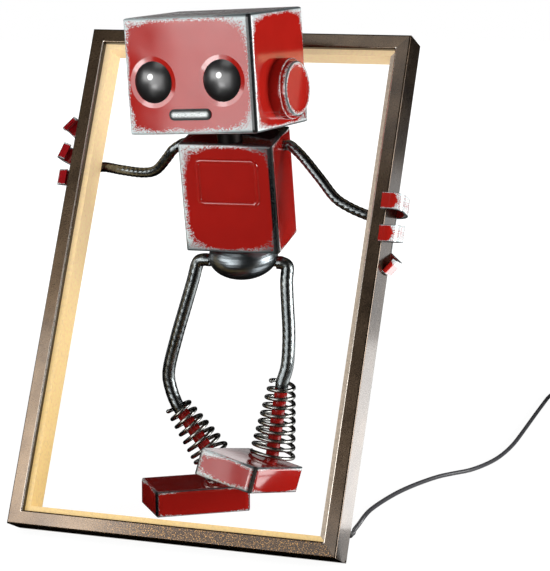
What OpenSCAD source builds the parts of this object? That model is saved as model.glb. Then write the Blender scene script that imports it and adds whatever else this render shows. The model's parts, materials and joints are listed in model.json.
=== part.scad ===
// Desk lamp: a sheet-metal robot that steps through a leaning picture frame lit from inside.
// Millimetres. +X is right as seen from the front, -Y is the front, +Z is up.
// z = 0 is the table, and the origin is the middle of the lamp's footprint without its cord.
// Places are written from the middle of the frame's lower rear edge, less that footprint middle.
// "left" and "right" are as seen from the front.

/* [Frame] */
// Height of the frame, measured in its own plane
frame_h = 500; // [470:5:530]
// Width of the frame
frame_w = 334; // [316:2:356]
// Depth of the rails
frame_d = 32; // [29:1:36]
// Width of a rail's face
rail_face = 14; // [12:0.5:16]
// Thickness of a rail's sheet
rail_wall = 1.5; // [1:0.1:2]
// Radius of a rail's outer edges
rail_edge = 1.6; // [0.8:0.2:2.4]
// Depth of the channel's front edge where it folds back beside the diffuser
rail_return = 6; // [4:0.5:8]
// Angle at which the frame leans back
lean = 23.4; // [21:0.2:25]

/* [Light] */
// How far the diffuser stands inward of the rail
diffuser_lip = 5.5; // [3:0.5:7]
// Thickness of the diffuser's wall
diffuser_wall = 2; // [1.5:0.25:2.5]
// Gap between the diffuser and the rail's flanges
diffuser_gap = 0.3; // [0.2:0.1:0.5]
// Width of the LED strip
strip_w = 10; // [8:1:12]
// Thickness of the LED strip
strip_t = 1.2; // [0.8:0.2:1.6]
// Distance from one LED to the next
led_pitch = 25; // [16:1:40]
// Length of each arm of a corner key
key_len = 26; // [20:1:32]
// Thickness of a corner key
key_t = 2; // [1.5:0.5:3]
// Width of a corner key
key_w = 14; // [12:1:15]

/* [Gland and cord] */
// Diameter of the cord
cord_d = 4.5; // [4.2:0.1:4.8]
// Height of the gland along the right rail
gland_up = 30; // [29:1:36]
// Distance of the gland from the rail's outer face
gland_in = 9; // [8:0.25:9.5]
// Length of the strain relief behind the rail
gland_len = 24; // [20:1:26]
// Diameter of the strain relief at its root
gland_root_d = 8.6; // [8:0.2:9]
// Diameter of the strain relief at its tip
gland_tip_d = 6.4; // [6:0.2:7]

/* [Head] */
// Width of the head
head_w = 134.5; // [120:0.5:140]
// Depth of the head
head_d = 107; // [94:1:110]
// Height of the head
head_h = 109; // [100:1:116]
// Radius of the head's folded edges
head_edge = 4; // [2:0.5:6]
// Thickness of the robot's sheet metal
sheet = 1.2; // [0.8:0.1:1.5]
// Diameter of an eye
eye_d = 39; // [34:1:42]
// Distance between the eyes' centres
eye_gap = 72; // [66:1:76]
// Height of the eyes above the underside of the head
eye_up = 49; // [46:1:54]
// Width of the dished ring round an eye
eye_ring = 4.5; // [3:0.5:6]
// How far an eye bulges out of the face
eye_bulge = 6; // [4:0.5:8]
// How far the eyes sit to the left of the middle of the face
face_aside = 2.5; // [0:0.5:3]
// Width of the mouth bar
mouth_w = 44; // [38:1:50]
// Height of the mouth bar
mouth_h = 10.5; // [9:0.5:12]
// Height of the mouth's centre above the underside of the head
mouth_up = 18.5; // [16:0.5:20]
// How far the mouth bar stands out
mouth_out = 1.6; // [1:0.2:2.4]
// Diameter of an ear's drum
ear_d = 57; // [50:1:60]
// Length of an ear's drum
ear_t = 11.5; // [8:0.5:14]
// Diameter of an ear's cap
cap_d = 51; // [44:1:52]
// Thickness of an ear's cap
cap_t = 5; // [3:0.5:6]
// Height of the ears above the underside of the head
ear_up = 35.7; // [34:0.1:42]
// How far the ears sit behind the middle of the head
ear_back = 1.5; // [0:0.5:8]

/* [Neck] */
// Diameter of the neck stud
stud_d = 6; // [5:0.5:8]
// Diameter of the neck collar
collar_d = 24; // [18:1:30]
// Height of the neck at its middle
neck_h = 13; // [11.5:0.5:16]
// Thickness of the friction washer
washer_t = 1; // [0.6:0.2:1.6]
// How far the neck stands to the right of the middle of the torso
neck_aside = 1.5; // [0:0.5:3]
// Distance from the middle of the torso forward to the neck
neck_forward = 17.5; // [10:1:20]
// Distance from the middle of the head back to the neck
neck_back = 18; // [14:1:24]
// Running clearance round the neck stud
stud_run = 0.05; // [0.03:0.01:0.1]
// Clearance between two faces that turn on each other
face_run = 0.1; // [0.05:0.05:0.2]

/* [Torso] */
// Width of the torso
torso_w = 94.5; // [84:0.5:98]
// Depth of the torso
torso_d = 62; // [54:1:64]
// Height of the torso
torso_h = 110; // [102:1:116]
// Radius of the torso's folded edges
torso_edge = 3.5; // [2:0.5:5]
// Width of the pressed bead on the chest
bead_w = 58.5; // [50:1:64]
// Height of the pressed bead on the chest
bead_h = 43; // [36:1:48]
// Height of the bead's middle above the underside of the torso
bead_up = 71.5; // [64:0.5:72]
// Radius of the bead's round section
bead_r = 2.4; // [1.6:0.2:2.8]
// Radius of the bead's corners
bead_corner = 5; // [4:0.5:8]
// Height of the shoulders above the underside of the torso
shoulder_up = 98; // [92:1:99]
// How far the shoulders sit behind the middle of the torso
shoulder_back = 6; // [2:1:10]

/* [Stance] */
// Middle of the torso's underside, sideways
hip_x = 4.6; // [0:0.2:10]
// Middle of the torso's underside, behind the frame's lower rear edge
hip_y = 143; // [138:1:145]
// Middle of the torso's underside, above the table
hip_z = 268.4; // [266:0.2:276]
// Angle at which the torso leans forward
torso_pitch = 12.7; // [11:0.1:14]
// Angle at which the torso turns to the left
torso_yaw = 5.2; // [4:0.1:9]
// Angle at which the torso tips to the left
torso_roll = 0.3; // [0:0.1:1]
// Angle at which the head leans forward
head_pitch = 1.6; // [0:0.1:3]
// Angle at which the head tips to the left
head_roll = 3.1; // [2:0.1:4]
// Angle at which the head turns to the right
head_yaw = 4.6; // [2:0.1:7]

/* [Arms and hands] */
// Diameter of the arm rods
arm_d = 10; // [8:0.5:11]
// Thickness of the hands' sheet
hand_t = 1.8; // [1.4:0.1:2.2]
// Width of a finger
finger_w = 16; // [13:0.5:17]
// Height of a palm
palm_h = 64; // [60:1:68]
// Height of the left palm's middle along its rail
palm_left_up = 367; // [356:1:374]
// Height of the right palm's middle along its rail
palm_right_up = 312; // [304:1:320]
// Radius inside a finger's bend
finger_bend = 7; // [6:0.5:9]
// Radius inside the bend of a finger that curls right round its rail
finger_curl = 11; // [8:0.5:11]
// Radius inside the bend of the lowest right finger
tight_bend = 2.5; // [2:0.25:3]
// Drop of a sloping finger for each millimetre that it comes forward
finger_drop = 0.24; // [0:0.02:0.3]

/* [Hip and legs] */
// Diameter of the hip bowl
bowl_d = 68; // [62:1:74]
// Depth at which the bowl is widest
bowl_band = 14; // [10:1:16]
// Whole depth of the bowl
bowl_depth = 36; // [32:1:42]
// Thickness of the bowl's wall
bowl_wall = 1.5; // [1:0.1:2]
// Diameter of the axle that carries the legs
axle_d = 8; // [6:0.5:9]
// Depth of the axle below the torso
axle_drop = 20; // [18:1:23]
// Clearance round the axle where it passes through the bowl
axle_gap = 0.1; // [0.05:0.05:0.2]
// Diameter of the leg rods
leg_d = 12.8; // [11:0.2:13.4]
// Distance from the bowl to the middle of a leg
elbow_out = 9.8; // [9:0.1:13]

/* [Springs] */
// Diameter of the spring wire
wire_d = 3.9; // [3:0.1:4]
// Outer diameter of a spring at its top
spring_top_d = 26.5; // [25:0.5:28]
// Outer diameter of a spring at its base
spring_base_d = 46.5; // [40:0.5:47]
// Number of turns of the right spring
spring_turns = 9.1; // [8:0.1:9.5]
// Number of turns that the left spring has more than the right
spring_more = 1; // [0:0.5:1]
// How far a spring runs up over the end of its leg
spring_over = 7; // [5:1:8]
// Angle at which the wire starts on the shoe
spring_start = 190; // [180:10:220]

/* [Shoes] */
// Width of a shoe
shoe_w = 66; // [60:1:70]
// Length of a shoe
shoe_l = 97; // [90:1:102]
// Height of a shoe with its sole
shoe_h = 26; // [22:1:28]
// Radius of a shoe's folded edges
shoe_edge = 3; // [2:0.5:4]
// Radius of a shoe's upright corners
shoe_corner = 7; // [4:0.5:10]
// Thickness of a sole plate
sole_t = 1.6; // [1:0.2:2.4]
// How far the right spring sits to the right of the middle of its shoe
seat_aside = 3; // [0:0.5:3]
// Distance from the heel to the middle of the spring
seat_in = 15.5; // [12:0.5:18]

/* [Switch] */
// Length of the switch on the cord
switch_l = 60; // [54:1:66]
// Width of the switch
switch_w = 23; // [21:1:25]
// Height of the switch
switch_h = 17; // [16:0.5:19]
// Wall of the switch's housing
switch_wall = 1.8; // [1.4:0.1:2.2]
// Radius of the rocker
rocker_r = 8.5; // [7.5:0.25:9]
// Width of the rocker
rocker_w = 12; // [10:0.5:13]
// Diameter of the rocker's pin
pin_d = 2; // [1.6:0.2:2.6]
// Angle of the rocker on each side of level
rocker_tilt = 8; // [6:0.5:9]

/* [Plug] */
// Width of the plug-in driver
driver_w = 36; // [32:1:40]
// Length of the plug-in driver
driver_l = 50; // [46:1:56]
// Height of the plug-in driver
driver_h = 30; // [26:1:34]
// Diameter of a plug pin
prong_d = 4; // [3.6:0.2:4.8]
// Length of a plug pin
prong_l = 19; // [17:1:20]
// Distance between the plug pins
prong_gap = 19; // [18:0.5:20]

/* [Hidden] */
$fn = 48;

red = "firebrick";
gunmetal = "dimgray";
bronze = "#5a4632";
opal = "#f0d7a6";
steel = "silver";
black = "#202022";

// Length that cuts reach past what they cut
over = 1;
// Gap left beside a plate that is set into a folded box
fit = 0.1;
// Gap between a stub and a curved or painted wall
seat_gap = 0.2;

// Middle of the lamp's footprint
middle = [-4.5, 84.6, 0];

// ---------- Vectors and placing ----------

function unit(v) = v / norm(v);
function about_y(p, a) = [p[0] * cos(a) + p[2] * sin(a), p[1], p[2] * cos(a) - p[0] * sin(a)];
function about_x(p, a) = [p[0], p[1] * cos(a) - p[2] * sin(a), p[1] * sin(a) + p[2] * cos(a)];
function about_z(p, a) = [p[0] * cos(a) - p[1] * sin(a), p[0] * sin(a) + p[1] * cos(a), p[2]];

// A turn is [pitch, roll, yaw] in degrees: roll first, then pitch, then yaw.
function turned(p, turn) = about_z(about_x(about_y(p, turn[1]), turn[0]), turn[2]);
function placed(p, at, turn) = at + turned(p, turn);

module place(at, turn) {
    translate(at) rotate([0, 0, turn[2]]) rotate([turn[0], 0, 0]) rotate([0, turn[1], 0])
        children();
}

// The frame's own axes: x across, y back from the rear face, z up along the frame.
// It is lowered until its rounded lower rear edge touches the table.
edge_drop = rail_edge * (sin(lean) + cos(lean) - 1);
frame_at = [0, 0, -edge_drop] - middle;
frame_turn = [-lean, 0, 0];
module in_frame() place(frame_at, frame_turn) children();
function frame_point(p) = placed(p, frame_at, frame_turn);

// The torso's own axes start in the middle of its underside.
torso_at = [hip_x, hip_y, hip_z] - middle;
torso_turn = [torso_pitch, -torso_roll, torso_yaw];
module in_torso() place(torso_at, torso_turn) children();
function torso_point(p) = placed(p, torso_at, torso_turn);

// The head's own axes start in the middle of its underside, and the neck stands on the torso
// along the head's upright axis.
head_turn = [head_pitch, -head_roll, -head_yaw];
neck_foot = torso_point([neck_aside, -neck_forward, torso_h]);
head_at = placed([0, -neck_back, neck_h], neck_foot, head_turn);
module in_head() place(head_at, head_turn) children();
module in_neck() place(neck_foot, head_turn) children();

// A shoe's own axes start in the middle of its sole. The toe points to -y.
shoe_left_at = [-44, 137, 0] - middle;
shoe_left_turn = [0, 0, -51];
shoe_right_at = [27, 97, 40] - middle;
shoe_right_turn = [-11.4, 11, -7.2];
seat = [0, shoe_l / 2 - seat_in, shoe_h];
seat_left = placed(seat, shoe_left_at, shoe_left_turn);
seat_right = placed(seat + [seat_aside, 0, 0], shoe_right_at, shoe_right_turn);
up_left = turned([0, 0, 1], shoe_left_turn);
up_right = turned([0, 0, 1], shoe_right_turn);

// A shin runs from the spring's seat on the shoe to the end of the leg rod.
ankle_left = seat_left + [-46, -10, 68.5];
ankle_right = seat_right + [9.8, 1, 70.4];

// ---------- Shared shapes ----------

module round_rect(w, h, r) {
    square([w - 2 * r, h], center = true);
    square([w, h - 2 * r], center = true);
    for (x = [-1, 1], y = [-1, 1])
        translate([x * (w / 2 - r), y * (h / 2 - r)])
            circle(r);
}

// A box with every edge rounded, standing on z = 0: three rounded prisms crossed.
module soft_box(w, d, h, r, corner) {
    intersection() {
        linear_extrude(h) round_rect(w, d, corner);
        translate([0, d / 2, h / 2]) rotate([90, 0, 0]) linear_extrude(d) round_rect(w, h, r);
        translate([-w / 2, 0, h / 2]) rotate([90, 0, 90]) linear_extrude(w) round_rect(d, h, r);
    }
}

// A folded sheet box with every edge rounded. Below it is open inside a flat lip.
lip = 1;
module folded_box(w, d, h, r, corner, wall) {
    difference() {
        soft_box(w, d, h, r, corner);
        translate([0, 0, wall])
            soft_box(w - 2 * wall, d - 2 * wall, h - 2 * wall, max(r - wall, 0.4), corner - wall);
        translate([0, 0, -over]) linear_extrude(wall + 2 * over)
            square([w - 2 * (r + lip), d - 2 * (r + lip)], center = true);
    }
}

// The plate that closes a folded box lies in its opening.
module closing_plate(w, d, r, thickness) {
    linear_extrude(thickness)
        square([w - 2 * (r + lip + fit), d - 2 * (r + lip + fit)], center = true);
}

// A smooth curve through the points, with the given number of steps from each to the next.
function blend(a, b, c, d, t) =
    0.5 * (2 * b + (c - a) * t + (2 * a - 5 * b + 4 * c - d) * t * t
        + (3 * b - a - 3 * c + d) * t * t * t);
function curve(points, steps) = let (last = len(points) - 1) concat(
    [for (i = [0:last - 1], k = [0:steps - 1])
        blend(points[max(i - 1, 0)], points[i], points[i + 1], points[min(i + 2, last)], k / steps)],
    [points[last]]);

// A round bar along a path. The reference is a direction that the path never takes.
module bar(path, r, sides, reference) {
    last = len(path) - 1;
    rings = [for (i = [0:last])
        let (
            t = unit(path[min(i + 1, last)] - path[max(i - 1, 0)]),
            u = unit(cross(reference, t)),
            v = cross(t, u)
        )
        [for (k = [0:sides - 1]) path[i] + r * (u * cos(360 * k / sides) + v * sin(360 * k / sides))]];
    polyhedron(
        points = [for (ring = rings) each ring],
        faces = concat(
            [[for (k = [0:sides - 1]) k]],
            [for (i = [0:last - 1], k = [0:sides - 1])
                let (a = i * sides, b = a + sides, n = (k + 1) % sides)
                each [[a + k, b + k, b + n], [a + k, b + n, a + n]]],
            [[for (k = [sides - 1:-1:0]) last * sides + k]]),
        convexity = 8);
}

// A rod bent between two ends: each bow is [share of the way, offset from the straight line].
function bowed(a, b, bows) = [for (w = bows) a + (b - a) * w[0] + w[1]];

// ---------- Frame ----------

// The rail's section: x is inward from the outer face, y is back from the front face.
module rail_section() {
    difference() {
        translate([rail_face / 2, 0]) round_rect(rail_face, frame_d, rail_edge);
        translate([rail_wall, -frame_d / 2 + rail_wall])
            square([rail_face - 2 * rail_wall, frame_d - 2 * rail_wall]);
        translate([rail_face - rail_wall - over, -frame_d / 2 + rail_return])
            square([rail_wall + 2 * over, frame_d - rail_wall - rail_return]);
    }
}

// How far the diffuser stands behind the front face, its depth, and how far it reaches inward.
diffuser_back = rail_return + diffuser_gap;
diffuser_d = frame_d - diffuser_back - rail_wall - diffuser_gap;
diffuser_in = rail_face + diffuser_lip;

// The diffuser's section: a channel that sits on the rail's web and shows past its flanges.
module diffuser_section() {
    difference() {
        translate([rail_wall, -frame_d / 2 + diffuser_back])
            square([diffuser_in - rail_wall, diffuser_d]);
        translate([rail_wall - over, -frame_d / 2 + diffuser_back + diffuser_wall])
            square([diffuser_in - rail_wall - diffuser_wall + over, diffuser_d - 2 * diffuser_wall]);
    }
}

// A section run along x for the given length, with its outer face on z = 0 and mitred ends.
module mitred(length) {
    reach = diffuser_in + over;
    intersection() {
        translate([0, -frame_d / 2, 0]) rotate([90, 0, 90]) linear_extrude(length)
            mirror([1, -1]) children();
        translate([0, over, 0]) rotate([90, 0, 0]) linear_extrude(frame_d + 2 * over)
            polygon([[0, 0], [length, 0], [length - reach, reach], [reach, reach]]);
    }
}

// The four sides of the frame, each from the module above.
module on_bottom() in_frame() translate([-frame_w / 2, 0, 0]) children();
module on_top() in_frame() translate([frame_w / 2, 0, frame_h]) rotate([0, 180, 0]) children();
module on_right() in_frame() translate([frame_w / 2, 0, 0]) rotate([0, -90, 0]) children();
module on_left() in_frame() translate([-frame_w / 2, 0, frame_h]) rotate([0, 90, 0]) children();

gland_x = frame_w / 2 - gland_in;

module rail_left() color(bronze) on_left() mitred(frame_h) rail_section();
module rail_top() color(bronze) on_top() mitred(frame_w) rail_section();
module rail_bottom() color(bronze) on_bottom() mitred(frame_w) rail_section();
module rail_right() {
    color(bronze) difference() {
        on_right() mitred(frame_h) rail_section();
        in_frame() translate([gland_x, over, gland_up]) rotate([90, 0, 0])
            cylinder(h = rail_wall + 2 * over, d = gland_neck_d + 2 * fit);
    }
}

module diffuser_left() color(opal) on_left() mitred(frame_h) diffuser_section();
module diffuser_right() {
    color(opal) difference() {
        on_right() mitred(frame_h) diffuser_section();
        in_frame() translate([gland_x, 0, gland_up]) rotate([90, 0, 0])
            cylinder(h = frame_d / 2, d = gland_root_d + 2 * diffuser_gap);
    }
}
module diffuser_top() color(opal) on_top() mitred(frame_w) diffuser_section();
module diffuser_bottom() color(opal) on_bottom() mitred(frame_w) diffuser_section();

// Room that each LED strip leaves at its ends for the corner keys
strip_short = key_len + rail_wall + 4;
led_size = [3, 3, 0.8];

// One LED strip on the web of a rail, with its LEDs.
module led_strip(length) {
    run = length - 2 * strip_short;
    count = floor((run - led_size[0] - 2) / led_pitch) + 1;
    first = length / 2 - (count - 1) * led_pitch / 2;
    translate([strip_short, -frame_d / 2 - strip_w / 2, rail_wall]) cube([run, strip_w, strip_t]);
    for (i = [0:count - 1])
        translate([first + i * led_pitch - led_size[0] / 2, -frame_d / 2 - led_size[1] / 2,
                   rail_wall + strip_t])
            cube(led_size);
}

module led_strips() {
    color("white") {
        on_left() led_strip(frame_h);
        on_right() led_strip(frame_h);
        on_top() led_strip(frame_w);
        on_bottom() led_strip(frame_w);
    }
}

// One corner key: an angle bracket that lies on the webs of two rails.
module corner_key() {
    for (turn = [0, 1])
        mirror([turn, 0, -turn])
            translate([rail_wall, -frame_d / 2 - key_w / 2, rail_wall]) cube([key_len, key_w, key_t]);
}

module corner_keys() {
    color(steel) in_frame()
        for (x = [0, 1], z = [0, 1])
            mirror([x, 0, 0]) translate([0, 0, z * frame_h]) mirror([0, 0, z])
                translate([-frame_w / 2, 0, 0]) corner_key();
}

// The gland is moulded round the cord and held in the rear flange of the right rail.
gland_neck_d = 7;
gland_flange_t = 1.6;
gland_lip_t = 1.5;
module cable_gland() {
    r = [gland_neck_d / 2, gland_root_d / 2, gland_tip_d / 2, cord_d / 2];
    inside = rail_wall + fit;
    color(black) in_frame() translate([gland_x, 0, gland_up]) rotate([-90, 0, 0])
        difference() {
            rotate_extrude() polygon([
                [0, -inside - gland_lip_t], [r[1], -inside - gland_lip_t], [r[1], -inside],
                [r[0], -inside], [r[0], 0], [r[1], 0], [r[1], gland_flange_t],
                [r[2], gland_len], [0, gland_len]]);
            translate([0, 0, -frame_d]) cylinder(h = frame_d + gland_len + over, r = r[3] + 0.02);
        }
}

// ---------- Head ----------

eye_at = [for (side = [-1, 1]) [side * eye_gap / 2 - face_aside, -head_d / 2, eye_up]];
dish_t = 0.7;
eye_spigot_d = eye_d - 4;

module head_shell() {
    color(red) in_head() difference() {
        union() {
            folded_box(head_w, head_d, head_h, head_edge, head_edge, sheet);
            for (e = eye_at)
                translate([e[0], e[1] + sheet / 2, e[2]]) rotate([-90, 0, 0])
                    cylinder(h = sheet / 2 + dish_t, d = eye_d + 2 * eye_ring);
        }
        for (e = eye_at)
            translate(e) rotate([-90, 0, 0]) {
                translate([0, 0, -0.01]) cylinder(h = dish_t, d1 = eye_d + 2 * eye_ring, d2 = eye_d - 1);
                translate([0, 0, -over]) cylinder(h = sheet + dish_t + 2 * over, d = eye_spigot_d + 2 * fit);
            }
    }
}

// The plate that closes the head turns on the neck stud, between the washer and the nut.
module head_plate() {
    color(red) in_head() difference() {
        closing_plate(head_w, head_d, head_edge, sheet);
        translate([0, neck_back, -over]) cylinder(h = sheet + 2 * over, d = stud_d + 2 * stud_run);
    }
}

// An eye is a glossy dome with a spigot through the face.
module eye(at) {
    dome_r = (eye_d * eye_d / 4 + eye_bulge * eye_bulge) / (2 * eye_bulge);
    half = asin(eye_d / 2 / dome_r);
    arc_steps = 12;
    color(black) in_head() translate(at) rotate([90, 0, 0]) rotate_extrude() polygon(concat(
        [[0, -dish_t - sheet - 1.5], [eye_spigot_d / 2, -dish_t - sheet - 1.5],
         [eye_spigot_d / 2, -dish_t + fit], [eye_d / 2 - 0.6, -dish_t + fit]],
        [for (i = [0:arc_steps])
            let (a = half * (1 - i / arc_steps))
            [dome_r * sin(a), dome_r * cos(a) - dome_r + eye_bulge - dish_t + fit]]));
}

module mouth_bar() {
    color(steel) in_head() translate([-face_aside / 2, -head_d / 2, mouth_up]) rotate([90, 0, 0]) {
        linear_extrude(mouth_out * 0.6) round_rect(mouth_w, mouth_h, mouth_h / 2 - 0.01);
        linear_extrude(mouth_out)
            round_rect(mouth_w - 1.6, mouth_h - 1.6, mouth_h / 2 - 0.81);
    }
}

module on_ear(side) in_head() translate([side * head_w / 2, ear_back, ear_up])
    rotate([0, side * 90, 0]) children();

drum_fillet = 1.6;
module ear_drum(side) {
    color(red) on_ear(side) rotate_extrude() difference() {
        union() {
            square([ear_d / 2 - drum_fillet, ear_t]);
            square([ear_d / 2, ear_t - drum_fillet]);
            translate([ear_d / 2 - drum_fillet, ear_t - drum_fillet]) circle(drum_fillet);
        }
        translate([-over, sheet]) square([cap_d / 2 - 6, ear_t - 2 * sheet]);
        translate([-2 * drum_fillet - over, -over]) square([2 * drum_fillet + over, ear_t + 2 * over]);
    }
}

cap_rim = 4;
cap_sink = 0.8;
module ear_cap(side) {
    r = cap_d / 2;
    color(red) on_ear(side) translate([0, 0, ear_t]) rotate_extrude() polygon([
        [0, 0], [r, 0], [r, cap_t - 1], [r - 1, cap_t], [r - cap_rim, cap_t],
        [r - cap_rim - 1, cap_t - cap_sink], [0, cap_t - cap_sink]]);
}

// ---------- Neck ----------

// The stud stands square to the head, so the collar under it is cut to the torso's slope.
module neck_collar() {
    top = neck_h - washer_t - face_run;
    color(gunmetal) difference() {
        in_neck() translate([0, 0, -collar_d / 2]) cylinder(h = top + collar_d / 2, d = collar_d);
        in_neck() translate([0, 0, -collar_d]) cylinder(h = top + 2 * collar_d, d = stud_d);
        in_torso() translate([-torso_w, -torso_d, torso_h - 4 * collar_d])
            cube([2 * torso_w, 2 * torso_d, 4 * collar_d]);
    }
}

nut_t = 5;
nut_across = 1.65;
module neck_stud() {
    color(steel) difference() {
        in_neck() translate([0, 0, -stud_d]) cylinder(h = neck_h + sheet + nut_t + 2 + stud_d, d = stud_d);
        in_torso() translate([-torso_w, -torso_d, torso_h - 4 * stud_d])
            cube([2 * torso_w, 2 * torso_d, 4 * stud_d]);
    }
}

module neck_washer() {
    color(steel) in_neck() translate([0, 0, neck_h - washer_t - face_run]) difference() {
        cylinder(h = washer_t, d = collar_d - 4);
        translate([0, 0, -over]) cylinder(h = washer_t + 2 * over, d = stud_d + 2 * fit);
    }
}

module neck_nut() {
    color(steel) in_neck() translate([0, 0, neck_h + sheet + face_run]) difference() {
        cylinder(h = nut_t, d = stud_d * nut_across * 1.15, $fn = 6);
        translate([0, 0, -over]) cylinder(h = nut_t + 2 * over, d = stud_d);
    }
}

// ---------- Torso ----------

// A raised bead of round section that follows a rounded rectangle.
module bead(w, h, corner, r) {
    for (side = [-1, 1]) {
        translate([side * w / 2, -h / 2 + corner, 0]) rotate([-90, 0, 0])
            cylinder(h = h - 2 * corner, r = r);
        translate([-w / 2 + corner, side * h / 2, 0]) rotate([0, 90, 0])
            cylinder(h = w - 2 * corner, r = r);
    }
    for (x = [0, 1], y = [0, 1])
        mirror([x, 0, 0]) mirror([0, y, 0]) translate([w / 2 - corner, h / 2 - corner, 0])
            rotate_extrude(angle = 90) translate([corner, 0]) circle(r);
}

bead_sink = 1;
module torso_shell() {
    color(red) in_torso() {
        folded_box(torso_w, torso_d, torso_h, torso_edge, torso_edge, sheet);
        translate([0, -torso_d / 2 + bead_sink, bead_up]) rotate([90, 0, 0])
            bead(bead_w, bead_h, bead_corner, bead_r);
    }
}

module torso_plate() {
    color(red) in_torso() closing_plate(torso_w, torso_d, torso_edge, sheet);
}

// ---------- Hip ----------

bowl_cap = bowl_depth - bowl_band;
leg_root = bowl_d / 2 + seat_gap;

module bowl_form(inset) {
    arc_steps = 20;
    top = -asin(bowl_band / (bowl_cap - inset));
    rotate_extrude() polygon(concat(
        [[0, 0]],
        [for (i = [0:arc_steps - 1])
            let (a = top + (90 - top) * i / arc_steps)
            [(bowl_d / 2 - inset) * cos(a), -bowl_band - (bowl_cap - inset) * sin(a)]],
        [[0, -bowl_depth + inset]]));
}

module hip_bowl() {
    color(gunmetal) in_torso() difference() {
        bowl_form(0);
        translate([0, 0, over]) bowl_form(bowl_wall);
        translate([-bowl_d, 0, -axle_drop]) rotate([0, 90, 0])
            cylinder(h = 2 * bowl_d, d = axle_d + 2 * axle_gap);
    }
}

module hip_axle() {
    color(gunmetal) in_torso() translate([-leg_root, 0, -axle_drop]) rotate([0, 90, 0])
        cylinder(h = 2 * leg_root, d = axle_d);
}

// ---------- Legs ----------

rod_sides = 12;
rod_steps = 4;

function leg_path(side, out, ankle, shin_from, bows) =
    let (elbow = torso_point([side * (leg_root + out), 0, -axle_drop - 4]))
    curve(concat(
        [for (x = [0, 1.8, out - 6]) torso_point([side * (leg_root + x), 0, -axle_drop])],
        [elbow],
        bowed(elbow, ankle, bows),
        [for (up = [6, 3, 0]) ankle + up * unit(ankle - shin_from)]), rod_steps);

leg_left_bows = [[0.12, [-3, 0, 0]], [0.3, [-8, 0, 0]], [0.52, [-14, 0, 0]],
                 [0.74, [-18, 0, 0]], [0.87, [-12.5, 0, 0]]];
leg_right_bows = [[0.12, [0, 0, 0]], [0.3, [2, 0, 0]], [0.55, [5, 0, 0]], [0.8, [5, 0, 0]]];

module leg_left()
    color(gunmetal) bar(leg_path(-1, elbow_out + 4, ankle_left, seat_left, leg_left_bows), leg_d / 2, rod_sides, [0, 1, 0]);
module leg_right()
    color(gunmetal) bar(leg_path(1, elbow_out, ankle_right, seat_right, leg_right_bows), leg_d / 2, rod_sides, [0, 1, 0]);

// A straight bar from one point towards another, and past it by a length.
module straight(a, b, r, past) {
    v = b - a;
    translate(a) rotate([0, acos(v[2] / norm(v)), atan2(v[1], v[0])]) cylinder(h = norm(v) + past, r = r);
}

// A shin is cut to the slope of the shoe that it stands on.
module shin(ankle, foot, shoe_at, shoe_turn) {
    color(red) difference() {
        straight(ankle, foot, leg_d / 2, leg_d);
        place(shoe_at, shoe_turn) translate([-shoe_l, -shoe_l, shoe_h - 2 * leg_d])
            cube([2 * shoe_l, 2 * shoe_l, 2 * leg_d]);
    }
}
module shin_left() shin(ankle_left, seat_left, shoe_left_at, shoe_left_turn);
module shin_right() shin(ankle_right, seat_right, shoe_right_at, shoe_right_turn);

// ---------- Springs ----------

// A conical spring. Its first turn lies on the shoe, and over its lower part the coils turn
// from the shoe's upright to the line of the shin. Its last turn goes round the end of the leg.
spring_steps = 18;
spring_settle = 0.45;
wire_sides = 8;
function spring_path(seat, up, ankle, turns) =
    let (
        foot = seat + up * (wire_d / 2 + seat_gap),
        along = ankle + spring_over * unit(ankle - seat) - foot,
        last = round(turns * spring_steps),
        r0 = (spring_base_d - wire_d) / 2,
        r1 = (spring_top_d - wire_d) / 2
    )
    [for (i = [0:last])
        let (
            t = i / last,
            flat = max(0, 1 - t / spring_settle),
            n = unit(up * flat + unit(along) * (1 - flat)),
            u = unit(cross([0, 1, 0], n)),
            v = cross(n, u),
            r = r0 + (r1 - r0) * t,
            a = spring_start + 360 * i / spring_steps
        )
        foot + along * t + r * (u * cos(a) + v * sin(a))];

module spring(seat, up, ankle, turns) {
    color(gunmetal)
        bar(spring_path(seat, up, ankle, turns), wire_d / 2, wire_sides, up + unit(ankle - seat));
}
module spring_left() spring(seat_left, up_left, ankle_left, spring_turns + spring_more);
module spring_right() spring(seat_right, up_right, ankle_right, spring_turns);

// ---------- Shoes ----------

module shoe(at, turn) {
    color(red) place(at, turn) folded_box(shoe_w, shoe_l, shoe_h, shoe_edge, shoe_corner, sheet);
}
module sole(at, turn) {
    color(red) place(at, turn) closing_plate(shoe_w, shoe_l, shoe_edge, sole_t);
}
module shoe_left() shoe(shoe_left_at, shoe_left_turn);
module shoe_right() shoe(shoe_right_at, shoe_right_turn);
module sole_left() sole(shoe_left_at, shoe_left_turn);
module sole_right() sole(shoe_right_at, shoe_right_turn);

// ---------- Arms and hands ----------

// Height of each arm's end above the middle of its palm, and the clearance behind the palm
grip_left = 0;
grip_right = 14;
arm_seat = hand_t + arm_d / 2 + seat_gap;
palm_x = frame_w / 2 - rail_face / 2;
hand_in_left = frame_point([-palm_x, arm_seat, palm_left_up + grip_left]);
hand_in_right = frame_point([palm_x, arm_seat, palm_right_up + grip_right]);

// Distances from the torso's side at which an arm still runs straight out
arm_straight = [fit, 1.5, 3];
function arm_path(side, hand, bows) =
    let (root = [for (x = arm_straight)
             torso_point([side * (torso_w / 2 + x), shoulder_back, shoulder_up])],
         out = torso_point([side * (torso_w / 2 + arm_d / 2 + 1.8), shoulder_back, shoulder_up]))
    curve(concat(root, [out], bowed(out, hand, bows), [hand]), rod_steps);

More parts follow.
